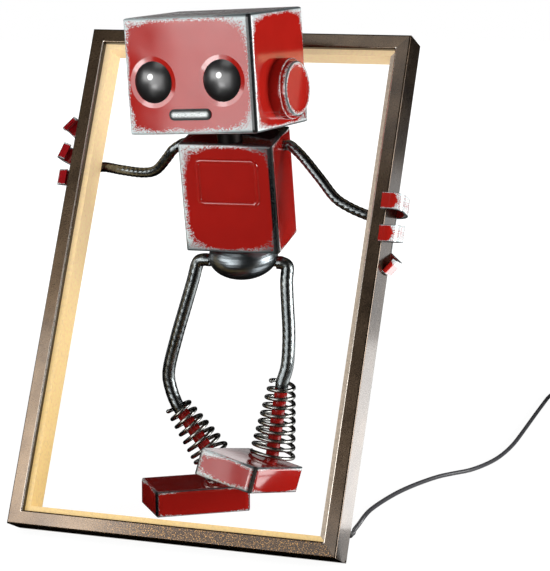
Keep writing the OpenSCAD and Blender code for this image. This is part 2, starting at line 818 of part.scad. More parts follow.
arm_left_bows = [[0.1, [0, -3, -4]], [0.17, [0, -2, -10]], [0.3, [0, 0, -19]],
                 [0.45, [0, 0, -18]], [0.68, [0, 0.5, -10]], [0.8, [0, 2.5, -5.5]],
                 [0.9, [0, 4.2, -2]]];
arm_right_bows = [[0.12, [0, 0, -2]], [0.3, [0, 0, -10]], [0.44, [0, 0, -17]],
                  [0.58, [0, 0, -16]], [0.75, [0, 0.8, -11]], [0.9, [0, 3.2, -5]]];

module arm_left()
    color(gunmetal) bar(arm_path(-1, hand_in_left, arm_left_bows), arm_d / 2, rod_sides, [0, 1, 0]);
module arm_right()
    color(gunmetal) bar(arm_path(1, hand_in_right, arm_right_bows), arm_d / 2, rod_sides, [0, 1, 0]);

// A finger's hook: x outward from the palm's middle, y forward from the rail's rear face.
// The front leg lies at the given depth and ends at the given distance from the palm's middle.
module hook(reach, front, tip, bend) {
    long = 60;
    difference() {
        translate([reach - long / 2, front / 2]) round_rect(long, front + 2 * hand_t, bend + hand_t);
        translate([reach - hand_t - long / 2, front / 2]) round_rect(long, front, bend);
        translate([-2 * long, -long]) square([2 * long, 2 * long]);
        translate([-over, front - over / 10]) square([tip + over, hand_t + over]);
    }
}

// A finger splayed by an angle, starting at a height from the palm's middle. It drops by its slope
// for each millimetre that it comes forward.
module finger(up, splay, slope, reach, front, tip, bend) {
    translate([0, 0, up]) rotate([0, -splay, 0]) mirror([0, 1, 0])
        multmatrix([[1, 0, 0, 0], [0, 1, 0, 0], [0, -slope, 1, 0], [0, 0, 0, 1]])
            translate([0, 0, -finger_w / 2]) linear_extrude(finger_w) hook(reach, front, tip, bend);
}

module palm() {
    translate([0, hand_t, 0]) rotate([90, 0, 0]) linear_extrude(hand_t)
        round_rect(rail_face, palm_h, 3);
}

// Distance from the palm's middle to the outer face of its rail
out = rail_face / 2;
// Depth of a finger that lies on the front of the rail, of one that stops short of it and of one
// that only reaches round its side
over_front = frame_d + fit;
short_of_front = frame_d * 0.7;
half_front = frame_d / 2;

module hand_left() {
    color(red) in_frame() translate([-palm_x, 0, palm_left_up]) mirror([1, 0, 0]) {
        palm();
        finger(18.6, 40.5, 0, out + 24.6, short_of_front, out + 18, finger_bend);
        finger(0.8, 18, 0, out + 21.6, short_of_front, out + 10, finger_bend);
        finger(-14, 0, finger_drop, out + 17.5, short_of_front, out + 6, finger_bend);
    }
}
module hand_right() {
    color(red) in_frame() translate([palm_x, 0, palm_right_up]) {
        palm();
        finger(24, 1.5, 0, out + 14.3, over_front, out - 5, finger_curl);
        finger(0.5, 1, finger_drop, out + 13, over_front, out - 3.2, finger_curl);
        finger(-22, -38, finger_drop / 2, out + 12, half_front, out + 9, tight_bend);
    }
}

// ---------- Cord ----------

cord_z = cord_d / 2 + 0.05;
cord_sides = 8;
cord_steps = 2;
gland_end = frame_point([gland_x, gland_len, gland_up]);

// The cord's way from the gland to the switch
run_points = [
    [154, 52, 14], [149, 68, 11], [143, 87, 8], [135, 122, 4.5], [128, 155, 2.5],
    [124.5, 185, 2.3], [124.5, 225, 2.3], [127, 263, 2.3], [133, 300, 2.3], [143, 338, 2.3],
    [154, 360, 2.3], [166, 381, 2.3], [174, 415, 2.3], [177, 455, 2.3], [174, 515, 2.3],
    [165, 590, 2.3], [155, 668, 2.3], [146, 740, 2.3], [141, 785, 2.3], [142, 815, 2.3],
    [152, 842, 2.3], [171, 854, 2.3], [190, 847, 2.3], [200, 829, 3.5]];
// The middle of the switch, which lies along y, and the height at which the cord enters it
switch_at = [202, 765, 0] - middle;
switch_entry_z = 7;
switch_back = switch_at + [0, switch_l / 2, switch_entry_z];
switch_front = switch_at - [0, switch_l / 2, -switch_entry_z];
// How far the cord goes into the switch's end walls and into the gland
cord_in = 3;
// The coil: two turns side by side, two high. The cord runs up beside it and away beside it.
coil_turns = 2;
coil_mid_r = 25;
coil_outer_r = coil_mid_r + coil_turns / 2 * cord_d;
beside_coil = coil_outer_r + cord_d / 2 + 0.1;
coil_at = switch_at + [beside_coil, -95, 0];
// The plug-in driver, the height at which the cord enters it, and its strain relief
driver_at = coil_at + [beside_coil, 88, 0];
driver_entry_z = driver_h / 2;
relief_l = 16;
driver_front = driver_at + [0, -driver_l / 2 - relief_l - 0.1, driver_entry_z];
gland_way = frame_point([0, 1, 0]) - frame_point([0, 0, 0]);

module cord(path) color(black) bar(path, cord_d / 2 - 0.02, cord_sides, [0, 0.01, 1]);

module cord_run() cord(curve(concat(
    [for (back = [gland_len + 6, 8, 0, -4]) gland_end - back * gland_way],
    [for (p = run_points) p - middle],
    [for (ahead = [9, 4, 0, -cord_in]) switch_back + [0, ahead, 0]]), cord_steps));

// From the switch to the coil
module cord_link() cord(curve(concat(
    [for (ahead = [-cord_in, 0, 4]) switch_front - [0, ahead, 0]],
    [switch_front - [0, 14, 2.4], switch_front - [0, 25, switch_entry_z - cord_z],
     coil_at + [-beside_coil, 18, cord_z], coil_at + [-beside_coil, 0, cord_z]]), cord_steps));

// From the coil to the driver
module cord_tail()
    let (rise = driver_entry_z - cord_z, run = driver_front[1] - coil_at[1])
    cord(curve(concat(
        [for (go = [[0, 0], [0.16, 0], [0.34, 0.1], [0.55, 0.5], [0.76, 0.9], [0.92, 1]])
            coil_at + [beside_coil, go[0] * run, cord_z + go[1] * rise]],
        [driver_front - [0, 2, 0], driver_front]), cord_steps));

module cord_coil() {
    height = 2 * cord_d;
    color(black) translate(coil_at) rotate_extrude()
        translate([coil_mid_r - coil_turns / 2 * cord_d, 0]) square([coil_turns * cord_d, height]);
}

// ---------- Switch ----------

base_h = switch_h / 2;
pivot_z = switch_h - 5;
pin_l = rocker_w + 4.8;
rocker_gap = 0.4;
rocker_side = 0.4;
// Half the length that the rocker needs in the cover when it is tilted
rocker_room = rocker_r / cos(rocker_tilt) + (switch_h - pivot_z) * tan(rocker_tilt) + rocker_gap;
module in_switch() translate(switch_at) rotate([0, 0, 90]) children();

module switch_outline(w) {
    round_rect(switch_l - switch_w + w, w, w / 2 - 3);
}

module cord_bores() translate([-switch_l, 0, switch_entry_z]) rotate([0, 90, 0])
    cylinder(h = 2 * switch_l, d = cord_d);

module switch_base() {
    color(black) in_switch() difference() {
        linear_extrude(base_h) switch_outline(switch_w);
        translate([0, 0, switch_wall]) linear_extrude(base_h)
            switch_outline(switch_w - 2 * switch_wall);
        cord_bores();
        for (x = [-1, 1]) translate([x * screw_x, 0, -over])
            cylinder(h = base_h, d = screw_d + 2 * fit);
    }
}

screw_d = 3;
screw_x = switch_l / 2 - 9;
module switch_cover() {
    color(black) in_switch() difference() {
        union() {
            difference() {
                translate([0, 0, base_h]) linear_extrude(switch_h - base_h) switch_outline(switch_w);
                translate([0, 0, base_h - over]) linear_extrude(switch_h - base_h + over - switch_wall)
                    switch_outline(switch_w - 2 * switch_wall);
            }
            for (x = [-1, 1]) translate([x * screw_x, 0, base_h + cord_d / 2 + 1])
                cylinder(h = switch_h - base_h - cord_d / 2 - 2, d = screw_d + 3);
            for (y = [-1, 1]) translate([-4, y * (rocker_w / 2 + rocker_side + 1) - 1, base_h + 2])
                cube([8, 2, switch_h - base_h - 3]);
        }
        cord_bores();
        translate([-rocker_room, -rocker_w / 2 - rocker_side, switch_h - switch_wall - over])
            cube([2 * rocker_room, rocker_w + 2 * rocker_side, switch_wall + 2 * over]);
        translate([0, -pin_l / 2, pivot_z]) rotate([-90, 0, 0]) cylinder(h = pin_l, d = pin_d);
        for (x = [-1, 1]) translate([x * screw_x, 0, -over])
            cylinder(h = switch_h - 3, d = screw_d);
    }
}

// The rocker turns on its pin, and its top is a shallow V.
rocker_top = switch_h - pivot_z + 1.2;
module switch_rocker() {
    color(black) in_switch() translate([0, 0, pivot_z]) rotate([0, rocker_tilt, 0]) difference() {
        rotate([90, 0, 0]) translate([0, 0, -rocker_w / 2]) linear_extrude(rocker_w) polygon([
            [-rocker_r, 2], [-rocker_r, rocker_top + 1.6], [0, rocker_top],
            [rocker_r, rocker_top + 1.6], [rocker_r, 2], [2.5, -2.2], [-2.5, -2.2]]);
        rotate([90, 0, 0]) translate([0, 0, -rocker_w]) cylinder(h = 2 * rocker_w, d = pin_d + 0.1);
    }
}

module switch_pin() {
    color(steel) in_switch() translate([0, -pin_l / 2, pivot_z])
        rotate([-90, 0, 0]) cylinder(h = pin_l, d = pin_d);
}

module switch_screws() {
    color(steel) in_switch() for (x = [-1, 1]) translate([x * screw_x, 0, 0.4])
        cylinder(h = switch_h - 5, d = screw_d);
}

// ---------- Driver with its plug pins ----------

module driver_body() {
    color(black) translate(driver_at) {
        translate([0, driver_l / 2, driver_h / 2]) rotate([90, 0, 0]) linear_extrude(driver_l)
            round_rect(driver_w, driver_h, 4);
        translate([0, -driver_l / 2, driver_entry_z]) rotate([90, 0, 0])
            cylinder(h = relief_l, d1 = cord_d + 4, d2 = cord_d + 1.4);
    }
}

module driver_prongs() {
    color(steel) for (side = [-1, 1])
        translate(driver_at + [side * prong_gap / 2, driver_l / 2, driver_h / 2]) rotate([-90, 0, 0])
            cylinder(h = prong_l, d = prong_d);
}

rail_left();
rail_right();
rail_top();
rail_bottom();
diffuser_left();
diffuser_right();
diffuser_top();
diffuser_bottom();
led_strips();
corner_keys();
cable_gland();
head_shell();
head_plate();
eye(eye_at[0]);  // eye_left
eye(eye_at[1]);  // eye_right
mouth_bar();
ear_drum(-1);  // ear_drum_left
ear_drum(1);  // ear_drum_right
ear_cap(-1);  // ear_cap_left
ear_cap(1);  // ear_cap_right
neck_collar();
neck_stud();
neck_washer();
neck_nut();
torso_shell();
torso_plate();
hip_bowl();
hip_axle();
arm_left();
arm_right();
hand_left();
hand_right();
leg_left();
leg_right();
shin_left();
shin_right();
spring_left();
spring_right();
shoe_left();
shoe_right();
sole_left();
sole_right();
cord_run();
cord_link();
cord_coil();
cord_tail();
switch_base();
switch_cover();
switch_rocker();
switch_pin();
switch_screws();
driver_body();
driver_prongs();
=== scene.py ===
"""A robot shaped desk lamp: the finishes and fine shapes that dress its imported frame.

Lengths are metres, in the frame's own axes: +X right as seen from the front, +Y back, +Z up.
"""

import json
import logging
import math
from dataclasses import dataclass, field
from enum import Enum
from typing import Any, Callable, Iterator, Sequence

import bmesh
import bpy
from mathutils import Matrix, Vector

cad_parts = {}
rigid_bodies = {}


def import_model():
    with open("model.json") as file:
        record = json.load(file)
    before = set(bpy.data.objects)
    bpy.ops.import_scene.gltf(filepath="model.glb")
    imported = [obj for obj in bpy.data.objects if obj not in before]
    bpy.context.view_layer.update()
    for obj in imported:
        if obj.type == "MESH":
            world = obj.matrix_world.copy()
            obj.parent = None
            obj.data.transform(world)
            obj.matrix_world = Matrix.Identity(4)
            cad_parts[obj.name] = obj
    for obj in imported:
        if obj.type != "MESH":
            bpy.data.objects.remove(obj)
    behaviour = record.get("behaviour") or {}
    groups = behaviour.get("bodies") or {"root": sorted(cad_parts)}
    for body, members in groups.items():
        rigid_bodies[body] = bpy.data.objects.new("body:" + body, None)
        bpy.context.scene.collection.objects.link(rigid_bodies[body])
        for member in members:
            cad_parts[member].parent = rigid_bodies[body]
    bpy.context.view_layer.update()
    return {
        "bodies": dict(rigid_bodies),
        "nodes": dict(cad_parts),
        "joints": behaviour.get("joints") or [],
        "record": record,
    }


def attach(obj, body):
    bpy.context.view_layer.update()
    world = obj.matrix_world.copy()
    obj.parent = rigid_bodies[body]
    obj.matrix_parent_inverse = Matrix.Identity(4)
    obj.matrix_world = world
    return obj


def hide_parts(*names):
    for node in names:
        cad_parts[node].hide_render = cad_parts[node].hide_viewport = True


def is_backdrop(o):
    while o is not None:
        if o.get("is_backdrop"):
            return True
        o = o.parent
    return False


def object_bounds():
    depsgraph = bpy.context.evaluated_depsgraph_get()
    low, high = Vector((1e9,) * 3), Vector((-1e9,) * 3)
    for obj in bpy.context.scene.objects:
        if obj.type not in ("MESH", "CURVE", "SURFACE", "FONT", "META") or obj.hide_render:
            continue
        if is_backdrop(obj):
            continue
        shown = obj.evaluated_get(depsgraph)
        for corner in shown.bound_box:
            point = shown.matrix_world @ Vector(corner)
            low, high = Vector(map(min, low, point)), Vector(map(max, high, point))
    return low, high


LOG = logging.getLogger("lamp")
MM = 0.001
FULL_TURN = 2 * math.pi
UP = Vector((0, 0, 1))
FORWARD = Vector((0, -1, 0))
SIDES = ((-1, "left"), (1, "right"))

Socket = bpy.types.NodeSocket
Triple = tuple[float, float, float]


# ---------- Small helpers ----------


def linear(colour: str) -> tuple[float, float, float, float]:
    """Turns an sRGB hex colour into linear light.

    Args:
        colour: Six hex digits, with or without a leading #.

    Returns:
        Linear red, green, blue and an alpha of one.
    """
    digits = colour.lstrip("#")
    parts = [int(digits[i : i + 2], 16) / 255 for i in (0, 2, 4)]
    light = [p / 12.92 if p <= 0.04045 else ((p + 0.055) / 1.055) ** 2.4 for p in parts]
    return (*light, 1.0)


def rounded(points: Sequence[Vector], steps: int) -> list[Vector]:
    """Draws one smooth curve through points.

    Args:
        points: The points that the curve passes.
        steps: Steps from each point to the next.

    Returns:
        The curve's points, both ends included.
    """
    last = len(points) - 1
    curve: list[Vector] = []
    for i in range(last):
        a, b = points[max(i - 1, 0)], points[i]
        c, d = points[i + 1], points[min(i + 2, last)]
        square, cube = 2 * a - 5 * b + 4 * c - d, 3 * b - a - 3 * c + d
        for k in range(steps):
            t = k / steps
            curve.append(0.5 * (2 * b + (c - a) * t + square * t**2 + cube * t**3))
    return [*curve, points[last].copy()]


def measured(path: Sequence[Vector]) -> float:
    """Gives the length of a path."""
    return sum((b - a).length for a, b in zip(path, path[1:]))


def respaced(path: Sequence[Vector], step: float) -> list[Vector]:
    """Lays points along a path at even distances.

    Args:
        path: The path's points.
        step: The distance wanted between points.

    Returns:
        Points from the path's start to its end.
    """
    total = measured(path)
    count = max(2, round(total / step))
    result: list[Vector] = []
    walked, i = 0.0, 0
    for k in range(count + 1):
        distance = total * k / count
        while i < len(path) - 2 and walked + (path[i + 1] - path[i]).length < distance:
            walked += (path[i + 1] - path[i]).length
            i += 1
        span = path[i + 1] - path[i]
        share = (distance - walked) / span.length if span.length else 0.0
        result.append(path[i] + span * min(max(share, 0.0), 1.0))
    return result


def eased(t: float) -> float:
    """Eases a share from 0 to 1 in and out."""
    t = min(max(t, 0.0), 1.0)
    return t * t * (3 - 2 * t)


def placed(name: str, data: bpy.types.ID) -> bpy.types.Object:
    """Puts an object with this data into the scene."""
    thing = bpy.data.objects.new(name, data)
    bpy.context.scene.collection.objects.link(thing)
    return thing


def shaped(name: str, mesh: bmesh.types.BMesh, material: bpy.types.Material) -> bpy.types.Object:
    """Puts a bmesh into the scene as an object.

    Args:
        name: The object's name.
        mesh: Its shape. It is freed.
        material: Its finish.

    Returns:
        The new object.
    """
    data = bpy.data.meshes.new(name)
    mesh.to_mesh(data)
    mesh.free()
    data.materials.append(material)
    return placed(name, data)


# ---------- Places ----------


@dataclass(frozen=True)
class Place:
    """A part's own axes in the lamp's frame.

    Attributes:
        at: Where the part's own origin is.
        turn: Pitch, roll and yaw in degrees: roll is made first, then pitch, then yaw.
    """

    at: Triple
    turn: Triple = (0.0, 0.0, 0.0)

    def matrix(self) -> Matrix:
        """Gives the whole transform, from the part's own axes to the lamp's frame."""
        pitch, roll, yaw = (math.radians(a) for a in self.turn)
        turn = Matrix.Rotation(yaw, 4, "Z") @ Matrix.Rotation(pitch, 4, "X") @ Matrix.Rotation(roll, 4, "Y")
        return Matrix.Translation(self.at) @ turn

    def point(self, own: Sequence[float]) -> Vector:
        """Gives a point of the part's own axes in the lamp's frame."""
        return self.matrix() @ Vector(own)

    def way(self, own: Sequence[float]) -> Vector:
        """Gives a direction of the part's own axes in the lamp's frame."""
        return self.matrix().to_3x3() @ Vector(own)


FRAME = Place((0.0045, -0.0846, -0.0005), (-23.4, 0.0, 0.0))
TORSO = Place((0.0091, 0.0584, 0.2684), (12.7, -0.3, 5.2))
NECK = Place(tuple(TORSO.point((0.0015, -0.0175, 0.110))), (1.6, -3.1, -4.6))
HEAD = Place(tuple(NECK.point((0.0, -0.018, 0.013))), NECK.turn)
SHOE_LEFT = Place((-0.0395, 0.0524, 0.0), (0.0, 0.0, -51.0))
SHOE_RIGHT = Place((0.0315, 0.0124, 0.040), (-11.4, 11.0, -7.2))


class Slot(Enum):
    """The record's material slots that added pieces belong to."""

    GUNMETAL = "gunmetal"
    CORD = "cord_black"


# ---------- Nodes ----------


@dataclass(frozen=True)
class Nodes:
    """The nodes of one material or world. A socket given to a node is linked, anything else is set."""

    tree: bpy.types.NodeTree

    @classmethod
    def of(cls, owner: bpy.types.Material | bpy.types.World) -> "Nodes":
        """Gives a material's or world's nodes, cleared."""
        owner.use_nodes = True
        owner.node_tree.nodes.clear()
        return cls(owner.node_tree)

    def add(
        self, kind: str, inputs: dict[int | str, Any] | None = None, **settings: Any
    ) -> bpy.types.Node:
        """Adds a node with its settings and links.

        Args:
            kind: The node's type, after ShaderNode.
            inputs: What its sockets get, by name or index.
            settings: Attributes of the node.

        Returns:
            The new node.
        """
        node = self.tree.nodes.new(f"ShaderNode{kind}")
        for name, value in settings.items():
            setattr(node, name, value)
        for key, value in (inputs or {}).items():
            if isinstance(value, Socket):
                self.tree.links.new(value, node.inputs[key])
            else:
                node.inputs[key].default_value = value
        return node

    def maths(self, operation: str, *values: Any, **settings: Any) -> Socket:
        """Works out a number from numbers."""
        return self.add("Math", dict(enumerate(values)), operation=operation, **settings).outputs[0]

    def vectors(self, operation: str, *values: Any) -> Socket:
        """Works out a vector from vectors, or a number if the operation gives one."""
        node = self.add("VectorMath", dict(enumerate(values)), operation=operation)
        return node.outputs["Value" if operation in ("LENGTH", "DISTANCE", "DOT_PRODUCT") else "Vector"]

    def axes(self, vector: Socket) -> list[Socket]:
        """Takes a vector apart."""
        return list(self.add("SeparateXYZ", {0: vector}).outputs)

    def coordinates(self) -> Socket:
        """Gives the Object coordinates."""
        return self.add("TexCoord").outputs["Object"]

    def own(self, coords: Socket, axes: Matrix) -> Socket:
        """Turns the lamp's coordinates into those of other axes in it."""
        inputs = {"Vector": coords, "Location": axes.translation, "Rotation": axes.to_euler("XYZ")}
        return self.add("Mapping", inputs, vector_type="TEXTURE").outputs[0]

    def ramp(
        self, value: Socket, span: Sequence[Any], ends: Sequence[float] = (0.0, 1.0), smooth: bool = True
    ) -> Socket:
        """Turns a span of values into another, and holds its ends beyond it.

        Args:
            value: What is turned.
            span: Where the span starts and ends.
            ends: What its start and end become.
            smooth: Whether it eases in and out.

        Returns:
            The new value.
        """
        inputs = dict(zip(("Value", "From Min", "From Max", "To Min", "To Max"), (value, *span, *ends)))
        kind = "SMOOTHSTEP" if smooth else "LINEAR"
        return self.add("MapRange", inputs, interpolation_type=kind).outputs[0]

    def line(self, value: Socket, span: Sequence[float], ends: Sequence[float] = (0.0, 1.0)) -> Socket:
        """Turns a span of values into another evenly."""
        return self.ramp(value, span, ends, smooth=False)

    def blend(self, share: Any, low: Any, high: Any, kind: str = "MIX") -> Socket:
        """Mixes two colours.

        Args:
            share: How much of the second there is.
            low: The first colour, as a socket or sRGB hex.
            high: The second colour.
            kind: How they are mixed.

        Returns:
            The mixed colour.
        """
        low, high = (linear(c) if isinstance(c, str) else c for c in (low, high))
        return self.add("Mix", {0: share, 6: low, 7: high}, data_type="RGBA", blend_type=kind).outputs[2]

    def noise(self, coords: Socket, size: float, detail: float) -> Socket:
        """Gives soft noise from 0 to 1, whose patches have this size in metres."""
        return self.add("TexNoise", {"Vector": coords, "Scale": 1 / size, "Detail": detail}).outputs["Fac"]

    def relief(self, height: Socket, depth: float) -> Socket:
        """Gives the normal of a surface where a height of 1 stands for this depth in metres."""
        return self.add("Bump", {"Height": height, "Distance": depth, "Strength": 1.0}).outputs[0]


# ---------- Finishes ----------


@dataclass(frozen=True)
class Finish:
    """A finish is one material. Its subclasses say how it is painted."""

    name: str

    def make(self) -> bpy.types.Material:
        """Makes the material."""
        material = bpy.data.materials.new(self.name)
        nodes = Nodes.of(material)
        shader = nodes.add("BsdfPrincipled", self.paint(nodes, nodes.coordinates()))
        nodes.add("OutputMaterial", {"Surface": shader.outputs[0]})
        return material

    def paint(self, nodes: Nodes, coords: Socket) -> dict[str, Any]:
        """Adds the finish's nodes.

        Args:
            nodes: The material's nodes.
            coords: Where the point is.

        Returns:
            What the shader's sockets get.
        """
        raise NotImplementedError


@dataclass(frozen=True)
class RubbedEnamel(Finish):
    """Gloss red enamel on folded sheet steel, dry-brushed with silver along every edge.

    The eye sees a deep clear red that mirrors soft light with a slight waver, as hand-folded sheet
    does. The silver is paint, so it isn't a bare metal. Towards each edge it breaks up through
    salt-like specks into a silver-white border, which is wider at the corners, and the fold itself
    is a dark slate line. Towards the box's right side the silver turns slate and the slate line
    widens, as painted shade. A painted dark reflection lies on the upright corners or beside the
    right front fold, and a painted shadow can darken the top.

    Attributes:
        place: The box's own axes.
        size: The box's width, depth and height, which stands on its own origin.
        border: Width of the silver border.
        corner: How much wider the border is at a corner.
        cover: How much of the border is silver, from 0 to 1.
        slate: Half the width of the dark line on a fold.
        right_shade: How far the silver turns to slate towards the box's right side, as painted shade, from 0
            to 1.
        low_dull: How far it turns to slate towards the box's foot, from 0 to 1.
        side_wear: How wide the border is on the box's sides, as a share.
        lean: How much wider the border is to the right than in the middle, as a share.
        post_reflection: How wide the painted dark reflection on an upright corner is. At 0 it lies only
            beside the right front fold.
        crown: How dark the painted shadow on the box's top is, from 0 to 1.
        grain: The size of a speck.
        patch: The size of the patches in which the border's width varies.
        corner_reach: How far from a corner the border is wider.
    """

    place: Place = Place((0, 0, 0))
    size: Triple = (0.1, 0.1, 0.1)
    border: float = 3.7 * MM
    corner: float = 5.5 * MM
    cover: float = 1.0
    slate: float = 1.5 * MM
    right_shade: float = 0.25
    low_dull: float = 0.0
    side_wear: float = 0.55
    lean: float = 0.3
    post_reflection: float = 0.0
    crown: float = 0.0
    grain: float = 0.65 * MM
    patch: float = 26 * MM
    corner_reach: float = 34 * MM
    red: str = "#A71D16"
    silver: str = "#CFDBDC"
    dark: str = "#2C3B3F"
    painted_dark_colour: str = "#0A1012"

    def paint(self, nodes: Nodes, coords: Socket) -> dict[str, Any]:
        """Adds the finish's nodes."""
        half = Vector(self.size) / 2
        own = nodes.own(coords, self.place.matrix() @ Matrix.Translation((0, 0, half.z)))
        x, y, z = nodes.axes(own)
        inward = nodes.vectors("SUBTRACT", half, nodes.vectors("ABSOLUTE", own))
        in_x, in_y, in_z = nodes.axes(inward)
        low = nodes.maths("MINIMUM", in_x, in_y)
        high = nodes.maths("MAXIMUM", in_x, in_y)
        to_edge = nodes.maths("MAXIMUM", low, nodes.maths("MINIMUM", high, in_z))
        to_corner = nodes.maths("MAXIMUM", high, in_z)
        on_side = nodes.line(in_x, (0.5 * MM, 3 * MM), (self.side_wear, 1.0))
        leaning = nodes.maths("MULTIPLY_ADD", x, self.lean / half.x, 1.0)
        wear = nodes.maths("MULTIPLY", on_side, leaning)
        # Painted shade: the silver turns to slate towards the box's right side. It also turns darker towards
        # the foot.
        shade_rightward = nodes.ramp(x, (0.1 * half.x, 0.9 * half.x), (0.0, self.right_shade))
        downward = nodes.ramp(z, (-0.95 * half.z, -0.7 * half.z), (self.low_dull, 0.0))
        on_front = nodes.line(in_x, (0.4 * MM, 0.8 * MM))
        shade_and_foot_slate = nodes.maths("MULTIPLY", nodes.maths("MAXIMUM", shade_rightward, downward), on_front)
        # Painted dark reflection: a dark band over each upright corner, or on the front face beside the right
        # fold.
        if self.post_reflection:
            painted_dark = nodes.ramp(high, (0.6 * self.post_reflection, 1.2 * self.post_reflection), (1.0, 0.0))
        else:
            beside = nodes.ramp(x, (half.x - 6.2 * MM, half.x - 4.6 * MM))
            before = nodes.ramp(y, (2.0 * MM - half.y, 2.9 * MM - half.y), (1.0, 0.0))
            painted_dark = nodes.maths("MULTIPLY", beside, before)
        # Painted shadow over the box's top.
        if self.crown:
            painted_top_shadow = nodes.ramp(z, (half.z - 1.6 * MM, half.z - 0.8 * MM), (0.0, self.crown))
            painted_dark = nodes.maths("MAXIMUM", painted_dark, painted_top_shadow)
        return self.rub(nodes, coords, to_edge, to_corner, shade_and_foot_slate, painted_dark, wear)

    def rub(
        self,
        nodes: Nodes,
        coords: Socket,
        to_edge: Socket,
        to_corner: Socket,
        shade_and_foot_slate: Socket | float = 0.0,
        painted_dark: Socket | float = 0.0,
        wear: Socket | float = 1.0,
    ) -> dict[str, Any]:
        """Rubs the enamel through to silver near its edges.

        Args:
            nodes: The material's nodes.
            coords: Where the point is.
            to_edge: Its distance from the nearest edge.
            to_corner: Its distance from the nearest corner, along that edge.
            shade_and_foot_slate: How far the silver is slate there: painted shade towards the right side, and
                darker towards the foot.
            painted_dark: Where a painted dark reflection on a fold or a painted shadow on the top covers the
                colour.
            wear: How wide the border is there, as a share.

        Returns:
            What the shader's sockets get.
        """
        patches = nodes.noise(coords, self.patch, 2.0)
        grains = nodes.add("TexVoronoi", {"Vector": coords, "Scale": 1 / self.grain})
        specks = nodes.axes(grains.outputs["Color"])[0]
        near = nodes.ramp(to_corner, (0.0, self.corner_reach), (self.corner, 0.0))
        uneven = nodes.line(patches, (0.3, 0.7), (0.7 * self.border, 1.3 * self.border))
        reach = nodes.maths("MULTIPLY", nodes.maths("ADD", near, uneven), wear)
        share = nodes.maths("DIVIDE", to_edge, reach)
        cover = nodes.ramp(share, (0.05, 2.1), (1.02 * self.cover, -0.08))
        silver = nodes.line(nodes.maths("SUBTRACT", cover, specks), (-0.05, 0.05))
        # The slate line on a fold widens where the silver is painted slate as shade.
        darker = nodes.maths("MULTIPLY_ADD", shade_and_foot_slate, 3.5 * MM, self.slate)
        fold_ends = [nodes.maths("MULTIPLY", darker, part) for part in (0.4, 1.4)]
        fold = nodes.ramp(to_edge, fold_ends, (0.92, 0.0))
        shade = nodes.line(patches, (0.25, 0.75), (0.94, 1.05))
        red = nodes.blend(1.0, self.red, shade, "MULTIPLY")
        rubbed = nodes.blend(silver, red, nodes.blend(shade_and_foot_slate, self.silver, self.dark))
        folded = nodes.blend(fold, rubbed, self.dark)
        waver = nodes.noise(coords, 55 * MM, 1.0)
        return {
            # The painted dark reflection and the painted top shadow are laid over the enamel last.
            "Base Color": nodes.blend(painted_dark, folded, self.painted_dark_colour),
            "Roughness": nodes.line(silver, (0.0, 1.0), (0.12, 0.45)),
            "IOR": 1.5,
            "Coat Weight": 1.0,
            "Coat Roughness": 0.06,
            "Normal": nodes.relief(nodes.maths("MULTIPLY_ADD", silver, 0.06, waver), 1.1 * MM),
        }


@dataclass(frozen=True)
class RubbedDisc(RubbedEnamel):
    """The same enamel on a round cap, rubbed along its rim.

    Attributes:
        frame: The cap's own axes: the middle of its outer face, with z outward.
        radius: The cap's radius.
        sunk: How far below the outer face the rim lies.
    """

    frame: Matrix = Matrix()
    radius: float = 25.5 * MM
    sunk: float = 0.0

    def paint(self, nodes: Nodes, coords: Socket) -> dict[str, Any]:
        """Adds the finish's nodes."""
        own = nodes.own(coords, self.frame)
        across = nodes.vectors("LENGTH", nodes.vectors("MULTIPLY", own, (1.0, 1.0, 0.0)))
        to_side = nodes.maths("SUBTRACT", self.radius, across)
        depth = nodes.maths("ABSOLUTE", nodes.maths("ADD", nodes.axes(own)[2], self.sunk))
        to_edge = nodes.maths("MAXIMUM", to_side, depth)
        return self.rub(nodes, coords, to_edge, nodes.maths("ADD", to_edge, 1.0))


@dataclass(frozen=True)
class RubbedFingers(RubbedEnamel):
    """The same enamel on a hand's bent strips, rubbed along their long edges and at their curl.

    Attributes:
        hand: The middle of the palm, in the light frame's own axes.
        strips: For each finger its height from there, its splay in degrees and its drop for each
            length forward.
        width: A finger's width.
        curl: How far out from the frame's middle the silver of the curl begins.
        curl_soft: The width over which it begins.
    """

    hand: Triple = (0.16, 0.0, 0.312)
    strips: tuple[Triple, ...] = ()
    width: float = 16 * MM
    curl: float = 174 * MM
    curl_soft: float = 6 * MM

    def paint(self, nodes: Nodes, coords: Socket) -> dict[str, Any]:
        """Adds the finish's nodes."""
        side = math.copysign(1.0, self.hand[0])
        to_edge: Socket | float = -1.0
        for up, splay, drop in self.strips:
            turn = math.radians(splay)
            way = FRAME.way((-side * math.sin(turn), -drop, math.cos(turn)))
            root = FRAME.point(Vector(self.hand) + up * UP)
            across = nodes.maths("SUBTRACT", nodes.vectors("DOT_PRODUCT", coords, way), root.dot(way))
            inside = nodes.maths("SUBTRACT", self.width / 2, nodes.maths("ABSOLUTE", across))
            to_edge = nodes.maths("MAXIMUM", to_edge, inside)
        out = nodes.maths("MULTIPLY_ADD", nodes.axes(coords)[0], side, -side * FRAME.at[0])
        to_curl = nodes.line(out, (self.curl - self.curl_soft, self.curl), (self.corner_reach, 0.0))
        return self.rub(nodes, coords, to_edge, to_curl)


